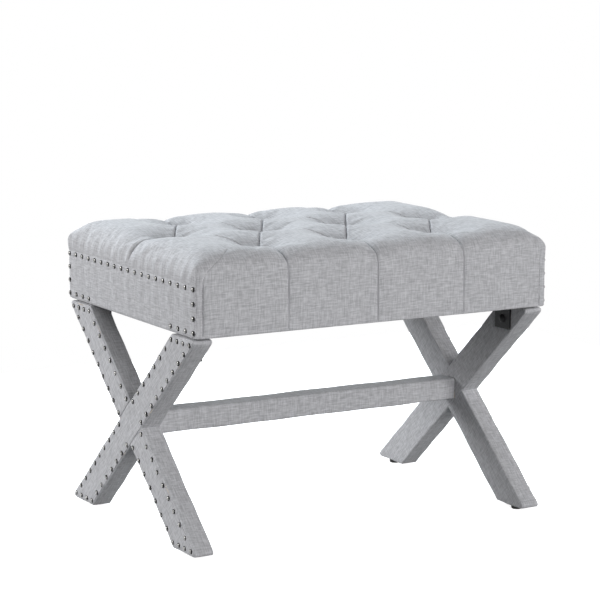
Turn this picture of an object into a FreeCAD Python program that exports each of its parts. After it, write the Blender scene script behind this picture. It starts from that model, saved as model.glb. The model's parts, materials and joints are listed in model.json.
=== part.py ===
"""Tufted ottoman on two X-shaped leg frames, in millimetres.

X runs along the seat, Y from the front (-) to the back (+), Z up.
The origin is on the floor, under the middle of the seat.
"""
import FreeCAD, Part
import Sketcher
import math
import os
import re

doc = FreeCAD.newDocument("tufted_ottoman")
dims = doc.addObject("Spreadsheet::Sheet", "dims")

DRIVING_DIMENSIONS = [
    ("overall_length", 630),
    ("overall_depth", 460),
    ("overall_height", 472),
    ("seat_bottom", 340),
    ("cloth", 1.5),
    ("end_cloth", 1.2),
    ("end_cloth_margin", 2),
    ("wadding_gap", 1.2),
    ("foam_gap", 0.4),
    ("cover_hem", 27),
    ("long_edge_round", 34),
    ("end_edge_round", 42),
    ("edge_break", 10),
    ("corner_round", 4),
    ("tuft_row", 135),
    ("pad_shoulder", 1),
    ("pad_headroom", 12),
    ("pleat_overshoot", 10),
    ("tuft_depth", 29),
    ("tuft_spread", 56),
    ("pleat_depth", 9),
    ("pleat_spread", 46),
    ("seam_depth", 1),
    ("button_radius", 8),
    ("button_height", 6),
    ("button_rim", 1.5),
    ("pit_room", 2),
    ("twine_radius", 1.2),
    ("washer_radius", 10),
    ("washer_thickness", 3),
    ("knot_radius", 3),
    ("knot_height", 4),
    ("rail_thickness", 20),
    ("rail_top", 419),
    ("deck_thickness", 9),
    ("cleat_width", 75),
    ("cleat_thickness", 18),
    ("block_side", 55),
    ("block_height", 50),
    ("dowel_radius", 4),
    ("dowel_length", 40),
    ("dowel_in_rail", 14),
    ("dust_sheet", 1),
    ("dust_hem", 1.8),
    ("dust_hem_width", 10),
    ("dust_inset", 13),
    ("staple_crown", 12),
    ("staple_wire", 1),
    ("staple_leg", 10),
    ("staple_pitch_long", 50),
    ("staple_pitch_end", 40),
    ("leg_depth", 33),
    ("foot_reach", 82),
    ("corner_cut", 11.8),
    ("core_corner_cut", 8.8),
    ("glide_height", 6),
    ("glide_radius", 9),
    ("glide_inset", 21),
    ("glide_chamfer", 1),
    ("glide_recess", 2),
    ("glide_recess_radius", 3.4),
    ("glide_nail_radius", 1.2),
    ("glide_nail_head_radius", 3),
    ("glide_nail_head", 1.3),
    ("glide_nail_length", 22),
    ("stretcher_depth", 40),
    ("stretcher_height", 36),
    ("stretcher_gap", 2),
    ("stud_radius", 4),
    ("stud_in_stretcher", 35),
    ("insert_radius", 6),
    ("bracket_width", 41),
    ("bracket_reach", 42),
    ("bracket_drop", 42),
    ("bracket_thickness", 3),
    ("bracket_bolt_drop", 26),
    ("bracket_bolt_reach", 21),
    ("bolt_radius", 4),
    ("bolt_head_radius", 7),
    ("bolt_head_height", 4.5),
    ("bolt_head_rim", 1),
    ("tee_nut_barrel", 10),
    ("tee_nut_barrel_radius", 5.2),
    ("tee_nut_flange", 1.5),
    ("tee_nut_flange_radius", 10),
    ("lap_screw_radius", 2),
    ("lap_screw_length", 26),
    ("lap_screw_offset", 18),
    ("nail_head_radius", 3.5),
    ("nail_head_height", 2.4),
    ("nail_shank_radius", 0.6),
    ("nail_length", 12),
    ("nail_point", 2),
    ("nail_edge_inset", 7),
    ("nail_end_inset", 8.5),
    ("nail_notch_gap", 9.5),
    ("nail_fork_gap", 37),
    ("seat_nail_side", 222.5),
    ("seat_nail_top", 414.5),
    ("seat_nail_low", 349),
    ("clearance", 0.2),
]

for row, (alias, value) in enumerate(DRIVING_DIMENSIONS, start=1):
    dims.set("A%d" % row, alias)
    dims.set("B%d" % row, str(value))
    dims.setAlias("B%d" % row, alias)
doc.recompute()


def mm(text):
    """Value of a formula in the sheet's words, such as overall_length / 2."""
    return float(dims.evalExpression(text))


def bound(text):
    """The same formula, as an object outside the sheet has to spell it."""
    aliases = {alias for alias, _ in DRIVING_DIMENSIONS}
    return re.sub("[a-z_]+", lambda word: "dims." * (word[0] in aliases) + word[0], text)


# Levels and places that several pieces share, as formulas of the sheet
SEAT_HALF_LENGTH = "(overall_length / 2 - end_cloth)"
SEAT_HALF_DEPTH = "(overall_depth / 2)"
FRAME_HALF_LENGTH = "(overall_length / 2 - end_cloth - cloth - wadding_gap)"
FRAME_HALF_DEPTH = "(overall_depth / 2 - cloth - wadding_gap)"
FRAME_BOTTOM = "(seat_bottom + cloth)"
DECK_TOP = "(rail_top + deck_thickness)"
TUFT_PITCH = "(overall_length / 4)"
TUFT_FLOOR = "(overall_height - tuft_depth)"
DUST_SHEET_BOTTOM = "(seat_bottom - dust_sheet)"
LEG_TOP = "(seat_bottom - dust_sheet - dust_hem)"
LEG_OUTER = "(overall_length / 2)"
LEG_INNER = "(overall_length / 2 - leg_depth)"
LEG_MIDDLE = "(overall_length / 2 - leg_depth / 2)"
LEAN = "((overall_depth - foot_reach) / (%s - glide_height))" % LEG_TOP
SLANT = "sqrt(1 + (%s)^2)" % LEAN
CROSSING = "((%s + glide_height) / 2)" % LEG_TOP
BOLT_LEVEL = "(%s - bracket_bolt_drop)" % DUST_SHEET_BOTTOM
LEG_CENTRE_AT_BOLT = "(%s * (%s - %s))" % (LEAN, BOLT_LEVEL, CROSSING)

LEFT, RIGHT = -1, 1
FRONT, BACK = -1, 1
SIDES = [("left", LEFT), ("right", RIGHT)]
ENDS = [("front", FRONT), ("back", BACK)]
UP = FreeCAD.Vector(0, 0, 1)
DOWN = FreeCAD.Vector(0, 0, -1)


def box(label, corner, size):
    """A block from its lowest corner and its sizes along X, Y and Z."""
    piece = doc.addObject("Part::Box", label)
    for name, text in zip(("Length", "Width", "Height"), size):
        piece.setExpression(name, bound(text))
    for name, text in zip("xyz", corner):
        piece.setExpression("Placement.Base." + name, bound(text))
    return piece


def centred_box(label, half_length, half_depth, bottom, height):
    corner = ("-" + half_length, "-" + half_depth, bottom)
    return box(label, corner, ("2 * " + half_length, "2 * " + half_depth, height))


def cut(label, base, tool):
    piece = doc.addObject("Part::Cut", label)
    piece.Base = base
    piece.Tool = tool
    return piece


def fuse(label, base, tool):
    piece = doc.addObject("Part::Fuse", label)
    piece.Base = base
    piece.Tool = tool
    return piece


def group(label, solids):
    """Separate solids that share one node."""
    piece = doc.addObject("Part::Feature", label)
    piece.Shape = Part.makeCompound(solids)
    return piece


def outline_sketch(body, name, role, points, start):
    """A closed outline of straight lines, every corner held by the sheet."""
    sketch = body.newObject("Sketcher::SketchObject", name)
    plane = next(feature for feature in body.Origin.OriginFeatures if feature.Role == role)
    sketch.AttachmentSupport = [(plane, "")]
    sketch.MapMode = "FlatFace"
    sketch.setExpression("AttachmentOffset.Base.z", bound(start))
    corners = [FreeCAD.Vector(mm(across), mm(along), 0) for across, along in points]
    count = len(corners)
    for number in range(count):
        sketch.addGeometry(Part.LineSegment(corners[number], corners[(number + 1) % count]))
    for number in range(count):
        sketch.addConstraint(Sketcher.Constraint("Coincident", number, 2, (number + 1) % count, 1))
    for number, (across, along) in enumerate(points):
        for kind, text in (("DistanceX", across), ("DistanceY", along)):
            index = sketch.addConstraint(Sketcher.Constraint(kind, -1, 1, number, 1, mm(text)))
            sketch.setExpression("Constraints[%d]" % index, bound(text))
    return sketch


def padded_outline(label, role, points, start, length):
    body = doc.addObject("PartDesign::Body", label)
    sketch = outline_sketch(body, label + "_outline", role, points, start)
    pad = body.newObject("PartDesign::Pad", label + "_pad")
    pad.Profile = sketch
    pad.setExpression("Length", bound(length))
    return body


def cylinder(radius, start, direction, length):
    return Part.makeCylinder(radius, length, start, direction)


def turned(points, dome_top=None):
    """A solid turned about Z from (radius, height) points, with a dome from dome_top to the first."""
    corners = [FreeCAD.Vector(radius, 0, height) for radius, height in points]
    edges = [Part.makeLine(a, b) for a, b in zip(corners, corners[1:])]
    closing = corners[0]
    if dome_top is not None:
        rim = corners[0]
        rise = dome_top - rim.z
        ball = (rim.x ** 2 + rise ** 2) / (2 * rise)
        half_angle = math.asin(rim.x / ball) / 2
        sink = ball * (1 - math.cos(half_angle))
        closing = FreeCAD.Vector(0, 0, dome_top)
        middle = FreeCAD.Vector(ball * math.sin(half_angle), 0, dome_top - sink)
        edges.insert(0, Part.Arc(closing, middle, rim).toShape())
    edges.append(Part.makeLine(corners[-1], closing))
    face = Part.Face(Part.Wire(edges))
    return face.revolve(FreeCAD.Vector(0, 0, 0), UP, 360)


def placed(solid, place, direction):
    """A copy of a turned solid with its axis along direction."""
    copy = solid.copy()
    copy.Placement = FreeCAD.Placement(place, FreeCAD.Rotation(UP, direction))
    return copy


def tuft_places():
    """Three tufts in front, four in the middle, three behind: a diamond pattern."""
    pitch = mm(TUFT_PITCH)
    row = mm("tuft_row")
    outer = [(x, y) for y in (-row, row) for x in (-pitch, 0, pitch)]
    middle = [(x, 0) for x in (-1.5 * pitch, -0.5 * pitch, 0.5 * pitch, 1.5 * pitch)]
    return outer, middle


def crease_section(place, along, spread, depth, top):
    """Cross-section of the space between two swelling pads that meet at a sewn crease."""
    shoulder = mm("pad_shoulder")
    headroom = mm("pad_headroom")
    side = FreeCAD.Vector(-along.y, along.x, 0)
    drop = depth + shoulder
    ball = (spread ** 2 + drop ** 2) / (2 * drop)
    half_angle = math.asin(spread / ball) / 2
    bend_out = spread - ball * math.sin(half_angle)
    bend_down = shoulder - ball * (1 - math.cos(half_angle))

    def at(offset, height):
        return place + side * offset + FreeCAD.Vector(0, 0, top + height)

    bottom = at(0, -depth)
    left_arc = Part.Arc(at(-spread, shoulder), at(-bend_out, bend_down), bottom).toShape()
    right_arc = Part.Arc(bottom, at(bend_out, bend_down), at(spread, shoulder)).toShape()
    rim = [at(spread, shoulder), at(spread, headroom), at(-spread, headroom), at(-spread, shoulder)]
    lines = [Part.makeLine(a, b) for a, b in zip(rim, rim[1:])]
    return Part.Wire([left_arc, right_arc] + lines)


def crease(stations, along, top):
    """The space of one crease, lofted through (place, spread, depth) stations."""
    sections = [crease_section(place, along, spread, depth, top) for place, spread, depth in stations]
    return Part.makeLoft(sections, True, False)


def tuft_creases(half_length, half_depth, top):
    """Diagonal creases between neighbouring tufts, and pleats from the outer tufts over the edges."""
    outer, middle = tuft_places()
    deep = (mm("tuft_spread"), mm("tuft_depth"))
    shallow = (mm("pleat_spread"), mm("pleat_depth"))
    overshoot = mm("pleat_overshoot")
    tools = []
    for x, y in outer:
        start = FreeCAD.Vector(x, y, 0)
        for end_x, end_y in middle:
            is_neighbour = abs(end_x - x) < mm(TUFT_PITCH)
            if is_neighbour:
                end = FreeCAD.Vector(end_x, end_y, 0)
                along = (end - start).normalize()
                stations = [(start, *deep), ((start + end) / 2, *shallow), (end, *deep)]
                tools.append(crease(stations, along, top))
    runs = [((x, y), (0, math.copysign(1, y)), half_depth - abs(y)) for x, y in outer]
    runs += [((x, y), (math.copysign(1, x), 0), half_length - abs(x)) for x, y in (middle[0], middle[-1])]
    for place, heading, reach in runs:
        start = FreeCAD.Vector(*place, 0)
        along = FreeCAD.Vector(*heading, 0)
        stations = [(start, *deep), (start + along * reach / 2, *shallow),
                    (start + along * (reach + overshoot), *shallow)]
        tools.append(crease(stations, along, top))
    return tools


def side_seams(half_depth, bottom, top):
    """The pleats go on as thin sewn lines down the long sides."""
    outer, _ = tuft_places()
    depth = mm("seam_depth")
    tools = []
    for x, y in outer:
        heading = math.copysign(1, y)
        outside = heading * (half_depth + depth)
        inside = heading * (half_depth - depth)
        corners = [(x - 2 * depth, outside), (x + 2 * depth, outside), (x, inside)]
        points = [FreeCAD.Vector(px, py, bottom - depth) for px, py in corners]
        face = Part.Face(Part.makePolygon(points + points[:1]))
        tools.append(face.extrude(UP * (top - bottom)))
    return tools


def arched_profile(half_width, bottom, top, edge_round, at):
    """An upright with its two top corners rounded, as a face; at(across, height) gives the place.

    The rounding meets the top at a slight break, as the sewn edge of a padded top does.
    """
    turn = math.radians(90 - mm("edge_break"))
    radius = edge_round / math.sin(turn)
    shoulder = top - edge_round

    def on_round(angle):
        return half_width - radius * (1 - math.cos(angle)), shoulder + radius * math.sin(angle)

    bend_out, bend_up = on_round(turn / 2)
    reach, _ = on_round(turn)
    return Part.Face(Part.Wire([
        Part.makeLine(at(-half_width, bottom), at(half_width, bottom)),
        Part.makeLine(at(half_width, bottom), at(half_width, shoulder)),
        Part.Arc(at(half_width, shoulder), at(bend_out, bend_up), at(reach, top)).toShape(),
        Part.makeLine(at(reach, top), at(-reach, top)),
        Part.Arc(at(-reach, top), at(-bend_out, bend_up), at(-half_width, shoulder)).toShape(),
        Part.makeLine(at(-half_width, shoulder), at(-half_width, bottom)),
    ]))


def stands_on(edge, bottom):
    nearly_upright = 0.999
    is_upright = abs(edge.tangentAt(edge.FirstParameter).z) > nearly_upright
    return is_upright and edge.BoundBox.ZMin < bottom + mm("cloth")


def tufted_form(inset, bottom):
    """The seat's soft outer form, drawn in by inset on every side, standing on bottom."""
    half_length = mm(SEAT_HALF_LENGTH) - inset
    half_depth = mm(SEAT_HALF_DEPTH) - inset
    top = mm("overall_height") - inset
    along = arched_profile(half_length, bottom, top, mm("end_edge_round") - inset,
                           lambda across, height: FreeCAD.Vector(across, -half_depth, height))
    across = arched_profile(half_depth, bottom, top, mm("long_edge_round") - inset,
                            lambda across, height: FreeCAD.Vector(-half_length, across, height))
    form = along.extrude(FreeCAD.Vector(0, 2 * half_depth, 0))
    form = form.common(across.extrude(FreeCAD.Vector(2 * half_length, 0, 0)))
    upright = [edge for edge in form.Edges if stands_on(edge, bottom)]
    form = form.makeFillet(mm("corner_round") - inset, upright)
    tools = tuft_creases(half_length, half_depth, top) + side_seams(half_depth, bottom, top)
    outer, middle = tuft_places()
    pit_radius = mm("button_radius + pit_room") + inset
    for x, y in outer + middle:
        floor = FreeCAD.Vector(x, y, top - mm("tuft_depth"))
        tools.append(cylinder(pit_radius, floor, UP, 2 * mm("tuft_depth")))
    return form.cut(tools)


def shape_feature(label, shape):
    piece = doc.addObject("Part::Feature", label)
    piece.Shape = shape
    return piece


nodes = []


def node(piece):
    """Takes a finished piece into the list of those that are written out."""
    nodes.append(piece)


# Seat box: rails joined by dowels, cleats over the leg tops, glued corner blocks
inner_half_length = "(%s - rail_thickness)" % FRAME_HALF_LENGTH
inner_half_depth = "(%s - rail_thickness)" % FRAME_HALF_DEPTH
rail_height = "(rail_top - %s)" % FRAME_BOTTOM

DOWEL_LEVELS = (0.3, 0.75)
dowels = []
dowel_holes = []
for _, side in SIDES:
    for _, end in ENDS:
        for level in DOWEL_LEVELS:
            x = side * mm(FRAME_HALF_LENGTH + " - rail_thickness / 2")
            y = end * mm(inner_half_depth + " + dowel_in_rail")
            z = mm("%s + %s * %s" % (FRAME_BOTTOM, rail_height, level))
            inward = FreeCAD.Vector(0, -end, 0)
            start = FreeCAD.Vector(x, y, z)
            dowels.append(cylinder(mm("dowel_radius"), start, inward, mm("dowel_length")))
            hole_start = start - inward * mm("clearance")
            dowel_holes.append(cylinder(mm("dowel_radius + clearance"), hole_start, inward,
                                        mm("dowel_length + 2 * clearance")))


def seat_nail_places():
    """(y, z) of the nails on one end of the seat: a full top row, two columns, two short bottom rows."""
    side = mm("seat_nail_side")
    top = mm("seat_nail_top")
    low = mm("seat_nail_low")
    top_count = 19
    column_steps = 3
    bottom_count = 4
    pitch = 2 * side / (top_count - 1)
    drop = (top - low) / column_steps
    places = [(-side + pitch * number, top) for number in range(top_count)]
    for end in (FRONT, BACK):
        places += [(end * side, top - drop * step) for step in range(1, column_steps)]
        places += [(end * (side - pitch * number), low) for number in range(bottom_count)]
    return places


def leg_edge(rim, foot_side, level):
    """Y of the nail line along an edge of a leg bar; rim is 1 for the foot's outer edge, -1 for its inner."""
    inset = mm("nail_edge_inset") * mm(SLANT)
    at_sole = mm("overall_depth / 2 - foot_reach / 2") + rim * (mm("foot_reach / 2") - inset)
    return foot_side * (at_sole - mm(LEAN) * (level - mm("glide_height")))


def leg_nail_places():
    """(y, z) of the nails on the outer face of one X frame."""
    crossing = mm(CROSSING)
    long_steps = 9
    short_steps = 7
    ends = [(1, mm(LEG_TOP + " - nail_end_inset")), (-1, mm("glide_height + nail_end_inset"))]
    places = []
    for foot_side in (BACK, FRONT):
        for half, end_level in ends:
            for rim in (1, -1):
                is_long = rim * half < 0
                steps = long_steps if is_long else short_steps
                stop = crossing + half * mm("nail_notch_gap" if is_long else "nail_fork_gap")
                for step in range(steps + 1):
                    level = end_level + (stop - end_level) * step / steps
                    places.append((leg_edge(rim, foot_side, level), level))
            first = leg_edge(1, foot_side, end_level)
            last = leg_edge(-1, foot_side, end_level)
            places += [(first + (last - first) * share, end_level) for share in (1 / 3, 2 / 3)]
    return places


nail = turned([
    (mm("nail_head_radius"), 0),
    (mm("nail_shank_radius"), 0),
    (mm("nail_shank_radius"), mm("nail_point - nail_length")),
    (0, mm("-nail_length")),
], dome_top=mm("nail_head_height"))


def nails_and_holes(places, side):
    """Dome-headed nails driven in from the outer face of one side, and the holes they make."""
    outward = FreeCAD.Vector(side, 0, 0)
    face = side * mm(LEG_OUTER)
    starts = [FreeCAD.Vector(face, y, z) for y, z in places]
    nails = [placed(nail, start, outward) for start in starts]
    bore = mm("nail_shank_radius + clearance / 2")
    depth = mm("nail_length + 2 * clearance")
    holes = [cylinder(bore, start + outward * mm("clearance"), -outward, depth) for start in starts]
    return nails, holes


def staples_and_slits():
    """Staples that hold the dust cover to the rails, and the slits that they make."""
    crown = mm("staple_crown")
    wire = mm("staple_wire")
    leg = mm("staple_leg")
    gap = mm("clearance")
    hem_bottom = mm(LEG_TOP)
    along_front = mm("overall_depth / 2 - dust_inset - dust_hem_width / 2")
    along_end = mm("overall_length / 2 - dust_inset - dust_hem_width / 2")
    front_places = [step * mm("staple_pitch_long") for step in range(-5, 6)]
    end_places = [step * mm("staple_pitch_end") for step in range(-3, 4)]
    spots = [(x, end * along_front, True) for end in (FRONT, BACK) for x in front_places]
    spots += [(side * along_end, y, False) for side in (LEFT, RIGHT) for y in end_places]
    staples = []
    slits = []
    for x, y, lengthwise in spots:
        size = (crown, wire) if lengthwise else (wire, crown)
        inner = (crown - 2 * wire, wire) if lengthwise else (wire, crown - 2 * wire)
        low = FreeCAD.Vector(x - size[0] / 2, y - size[1] / 2, hem_bottom - wire)
        arch_low = FreeCAD.Vector(x - inner[0] / 2, y - inner[1] / 2, hem_bottom)
        arch = Part.makeBox(inner[0], inner[1], leg, arch_low)
        staples.append(Part.makeBox(size[0], size[1], wire + leg, low).cut(arch))
        slit_low = low - FreeCAD.Vector(gap, gap, 0)
        slits.append(Part.makeBox(size[0] + 2 * gap, size[1] + 2 * gap, wire + leg + gap, slit_low))
    return staples, slits


seat_nails = {}
leg_nails = {}
seat_nail_holes = {}
leg_nail_holes = {}
for name, side in SIDES:
    seat_nails[name], seat_nail_holes[name] = nails_and_holes(seat_nail_places(), side)
    leg_nails[name], leg_nail_holes[name] = nails_and_holes(leg_nail_places(), side)
both_ends_nail_holes = seat_nail_holes["left"] + seat_nail_holes["right"]
staples, slits = staples_and_slits()
rail_holes = group("rail_holes", dowel_holes + both_ends_nail_holes + slits)

for name, end in ENDS:
    near = inner_half_depth if end == BACK else "-" + FRAME_HALF_DEPTH
    blank = box("seat_%s_rail_blank" % name, ("-" + FRAME_HALF_LENGTH, near, FRAME_BOTTOM),
                ("2 * " + FRAME_HALF_LENGTH, "rail_thickness", rail_height))
    node(cut("seat_%s_rail" % name, blank, rail_holes))
for name, side in SIDES:
    near = inner_half_length if side == RIGHT else "-" + FRAME_HALF_LENGTH
    blank = box("seat_%s_rail_blank" % name, (near, "-" + inner_half_depth, FRAME_BOTTOM),
                ("rail_thickness", "2 * " + inner_half_depth, rail_height))
    node(cut("seat_%s_rail" % name, blank, rail_holes))
node(group("seat_dowels", dowels))

blocks = []
for _, side in SIDES:
    for _, end in ENDS:
        corner = FreeCAD.Vector(side * mm(inner_half_length), end * mm(inner_half_depth),
                                mm("rail_top - block_height"))
        along_side_rail = corner - FreeCAD.Vector(0, end * mm("block_side"), 0)
        along_long_rail = corner - FreeCAD.Vector(side * mm("block_side"), 0, 0)
        triangle = Part.makePolygon([corner, along_long_rail, along_side_rail, corner])
        blocks.append(Part.Face(triangle).extrude(UP * mm("block_height")))
node(group("seat_corner_blocks", blocks))

# Bolts of the four brackets, with the inserts and tee nuts that they screw into
INSERT_LENGTH = "(leg_depth / 2 - cloth)"
LEG_BOLT_LENGTH = "(bracket_thickness + cloth + leg_depth / 2 - 2 * cloth)"
SEAT_BOLT_LENGTH = "(bracket_thickness + dust_sheet + cloth + cleat_thickness + tee_nut_flange)"
CLEAT_TOP = "(%s + cleat_thickness)" % FRAME_BOTTOM


def button_head_bolt(length):
    return turned([
        (mm("bolt_head_radius"), mm("bolt_head_rim")),
        (mm("bolt_head_radius"), 0),
        (mm("bolt_radius"), 0),
        (mm("bolt_radius"), -length),
        (0, -length),
    ], dome_top=mm("bolt_head_height"))


def insert(bore):
    outer = mm("insert_radius")
    length = mm(INSERT_LENGTH)
    return turned([(bore, 0), (outer, 0), (outer, length), (bore, length)])


tee_nut = turned([
    (mm("bolt_radius + clearance"), mm("-tee_nut_barrel")),
    (mm("tee_nut_barrel_radius"), mm("-tee_nut_barrel")),
    (mm("tee_nut_barrel_radius"), 0),
    (mm("tee_nut_flange_radius"), 0),
    (mm("tee_nut_flange_radius"), mm("tee_nut_flange")),
    (mm("bolt_radius + clearance"), mm("tee_nut_flange")),
])
leg_bolt = button_head_bolt(mm(LEG_BOLT_LENGTH))
seat_bolt = button_head_bolt(mm(SEAT_BOLT_LENGTH))
leg_insert = insert(mm("bolt_radius + clearance"))

leg_bolts = []
leg_inserts = []
seat_bolts = []
tee_nuts = []
leg_bolt_holes = []
leg_insert_holes = []
seat_bolt_holes = []
tee_nut_holes = []
bolt_bore = mm("bolt_radius + clearance")
for _, side in SIDES:
    for _, end in ENDS:
        outward = FreeCAD.Vector(side, 0, 0)
        y = end * mm(LEG_CENTRE_AT_BOLT)
        head = FreeCAD.Vector(side * mm(LEG_INNER + " - bracket_thickness"), y, mm(BOLT_LEVEL))
        wood_face = FreeCAD.Vector(side * mm(LEG_INNER + " + cloth"), y, mm(BOLT_LEVEL))
        leg_bolts.append(placed(leg_bolt, head, -outward))
        leg_inserts.append(placed(leg_insert, wood_face, outward))
        leg_bolt_holes.append(cylinder(bolt_bore, head - outward, outward, mm(LEG_BOLT_LENGTH)))
        leg_insert_holes.append(cylinder(mm("insert_radius + clearance"), wood_face, outward,
                                         mm(INSERT_LENGTH + " + clearance")))
        seat_head = FreeCAD.Vector(side * mm(LEG_INNER + " - bracket_bolt_reach"), y,
                                   mm(DUST_SHEET_BOTTOM + " - bracket_thickness"))
        nut = FreeCAD.Vector(seat_head.x, y, mm(CLEAT_TOP))
        seat_bolts.append(placed(seat_bolt, seat_head, DOWN))
        tee_nuts.append(placed(tee_nut, nut, UP))
        seat_bolt_holes.append(cylinder(bolt_bore, seat_head - UP, UP, mm(SEAT_BOLT_LENGTH)))
        tee_nut_holes.append(cylinder(mm("tee_nut_barrel_radius + clearance"), nut, DOWN,
                                      mm("cleat_thickness")))

cleat_holes = group("cleat_holes", tee_nut_holes)
for name, side in SIDES:
    near = inner_half_length + " - cleat_width" if side == RIGHT else "-" + inner_half_length
    blank = box(name + "_leg_cleat_blank", (near, "-" + inner_half_depth, FRAME_BOTTOM),
                ("cleat_width", "2 * " + inner_half_depth, "cleat_thickness"))
    node(cut(name + "_leg_cleat", blank, cleat_holes))

# Deck, foam, tufted cover and what pulls the tufts down
outer_tufts, middle_tufts = tuft_places()
tufts = [FreeCAD.Vector(x, y, 0) for x, y in outer_tufts + middle_tufts]
twine_bottom = mm("rail_top - washer_thickness - knot_height")
twine_span = mm(TUFT_FLOOR) - twine_bottom


def twine_holes(radius):
    return [cylinder(radius, tuft + UP * twine_bottom, UP, twine_span + radius) for tuft in tufts]


deck_blank = centred_box("seat_deck_blank", FRAME_HALF_LENGTH, FRAME_HALF_DEPTH, "rail_top", "deck_thickness")
deck_holes = group("deck_holes", twine_holes(mm("knot_radius")))
node(cut("seat_deck", deck_blank, deck_holes))

foam_blank = shape_feature("seat_foam_blank", tufted_form(mm("cloth + foam_gap"), mm(DECK_TOP)))
foam_holes = group("foam_holes", twine_holes(mm("twine_radius + 2 * foam_gap")))
node(cut("seat_foam", foam_blank, foam_holes))

cover_outside = shape_feature("seat_cover_outside", tufted_form(0, mm("seat_bottom")))
cover_inside = shape_feature("seat_cover_inside", tufted_form(mm("cloth"), mm(FRAME_BOTTOM)))
cover_shell = cut("seat_cover_shell", cover_outside, cover_inside)
cover_mouth = centred_box("seat_cover_mouth", "(%s - cover_hem)" % SEAT_HALF_LENGTH,
                          "(%s - cover_hem)" % SEAT_HALF_DEPTH, "seat_bottom - cloth", "3 * cloth")
cover_hemmed = cut("seat_cover_hemmed", cover_shell, cover_mouth)
cover_holes = group("cover_holes", twine_holes(mm("twine_radius + foam_gap")) + both_ends_nail_holes + slits)
node(cut("seat_cover", cover_hemmed, cover_holes))

button = turned([
    (mm("button_radius"), mm("button_rim")),
    (mm("button_radius - button_rim"), 0),
    (0, 0),
], dome_top=mm("button_height"))
washer = turned([
    (mm("twine_radius + foam_gap"), 0),
    (mm("washer_radius"), 0),
    (mm("washer_radius"), mm("washer_thickness")),
    (mm("twine_radius + foam_gap"), mm("washer_thickness")),
])
knotted_twine = turned([
    (0, 0),
    (mm("knot_radius"), 0),
    (mm("knot_radius"), mm("knot_height")),
    (mm("twine_radius"), mm("knot_height")),
    (mm("twine_radius"), twine_span),
    (0, twine_span),
])
washer_bottom = mm("rail_top - washer_thickness")
node(group("tuft_buttons", [placed(button, tuft + UP * mm(TUFT_FLOOR), UP) for tuft in tufts]))
node(group("tuft_twines", [placed(knotted_twine, tuft + UP * twine_bottom, UP) for tuft in tufts]))
node(group("tuft_washers", [placed(washer, tuft + UP * washer_bottom, UP) for tuft in tufts]))

# End panels of the seat and their nails
PANEL_HALF_DEPTH = "(seat_nail_side + nail_head_radius)"
PANEL_BOTTOM = "(seat_bottom + end_cloth)"
PANEL_TOP = "(seat_nail_top + nail_head_radius + end_cloth_margin)"
for name, side in SIDES:
    near = SEAT_HALF_LENGTH if side == RIGHT else "-" + LEG_OUTER
    blank = box(name + "_end_panel_blank", (near, "-" + PANEL_HALF_DEPTH, PANEL_BOTTOM),
                ("end_cloth", "2 * " + PANEL_HALF_DEPTH, PANEL_TOP + " - " + PANEL_BOTTOM))
    panel_holes = group(name + "_end_panel_holes", seat_nail_holes[name])
    node(cut(name + "_end_panel", blank, panel_holes))
    node(group(name + "_seat_nails", seat_nails[name]))

# Dust cover with its folded hem, and its staples
DUST_HALF_LENGTH = "(overall_length / 2 - dust_inset)"
DUST_HALF_DEPTH = "(overall_depth / 2 - dust_inset)"
dust_sheet = centred_box("dust_sheet_blank", DUST_HALF_LENGTH, DUST_HALF_DEPTH,
                         DUST_SHEET_BOTTOM, "dust_sheet")
dust_hem = centred_box("dust_hem_blank", DUST_HALF_LENGTH, DUST_HALF_DEPTH, LEG_TOP, "dust_hem")
dust_window = centred_box("dust_hem_window", "(%s - dust_hem_width)" % DUST_HALF_LENGTH,
                          "(%s - dust_hem_width)" % DUST_HALF_DEPTH, LEG_TOP, "dust_hem")
dust_ring = cut("dust_hem_ring", dust_hem, dust_window)
dust_blank = fuse("dust_cover_blank", dust_sheet, dust_ring)
dust_holes = group("dust_cover_holes", slits + seat_bolt_holes)
node(cut("dust_cover", dust_blank, dust_holes))
node(group("dust_cover_staples", staples))


# Legs: crossed bars, half-lapped where they meet, in linen sleeves
def bar_outline(foot_side, inset, corner_cut):
    """Corners of a leg bar in the Y-Z plane, drawn in by inset on every edge, its two sharp ones cut off."""
    across = "%s * %s" % (inset, SLANT)
    rise = "(%s - glide_height)" % LEG_TOP
    cut_rise = "%s / %s" % (corner_cut, SLANT)
    outer = "(overall_depth / 2 - %s)" % across
    inner = "(overall_depth / 2 - foot_reach + %s)" % across
    corners = [
        (inner, inset),
        ("(%s - %s)" % (outer, corner_cut), inset),
        (outer, "(%s + %s)" % (inset, cut_rise)),
        (outer, "(%s - %s)" % (rise, inset)),
        ("(%s + %s)" % (inner, corner_cut), "(%s - %s)" % (rise, inset)),
        (inner, "(%s - %s - %s)" % (rise, inset, cut_rise)),
    ]
    return [("%d * (%s - %s * %s)" % (foot_side, edge, LEAN, height), "glide_height + %s" % height)
            for edge, height in corners]


def half_bar_outline(foot_side, half):
    """Corners of the lower (-1) or upper (1) half of a leg bar, up to the crossing."""
    toward_end = -half * foot_side
    end_level = LEG_TOP if half > 0 else "glide_height"
    cut_rise = "corner_cut / %s" % SLANT
    return [
        ("%d * (overall_depth / 2 - %s * %s)" % (toward_end, LEAN, cut_rise),
         "%s - %d * %s" % (end_level, half, cut_rise)),
        ("%d * (overall_depth / 2 - corner_cut)" % toward_end, end_level),
        ("%d * (overall_depth / 2 - foot_reach)" % toward_end, end_level),
        ("%d * foot_reach / 2" % -toward_end, CROSSING),
        ("%d * foot_reach / 2" % toward_end, CROSSING),
    ]


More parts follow.
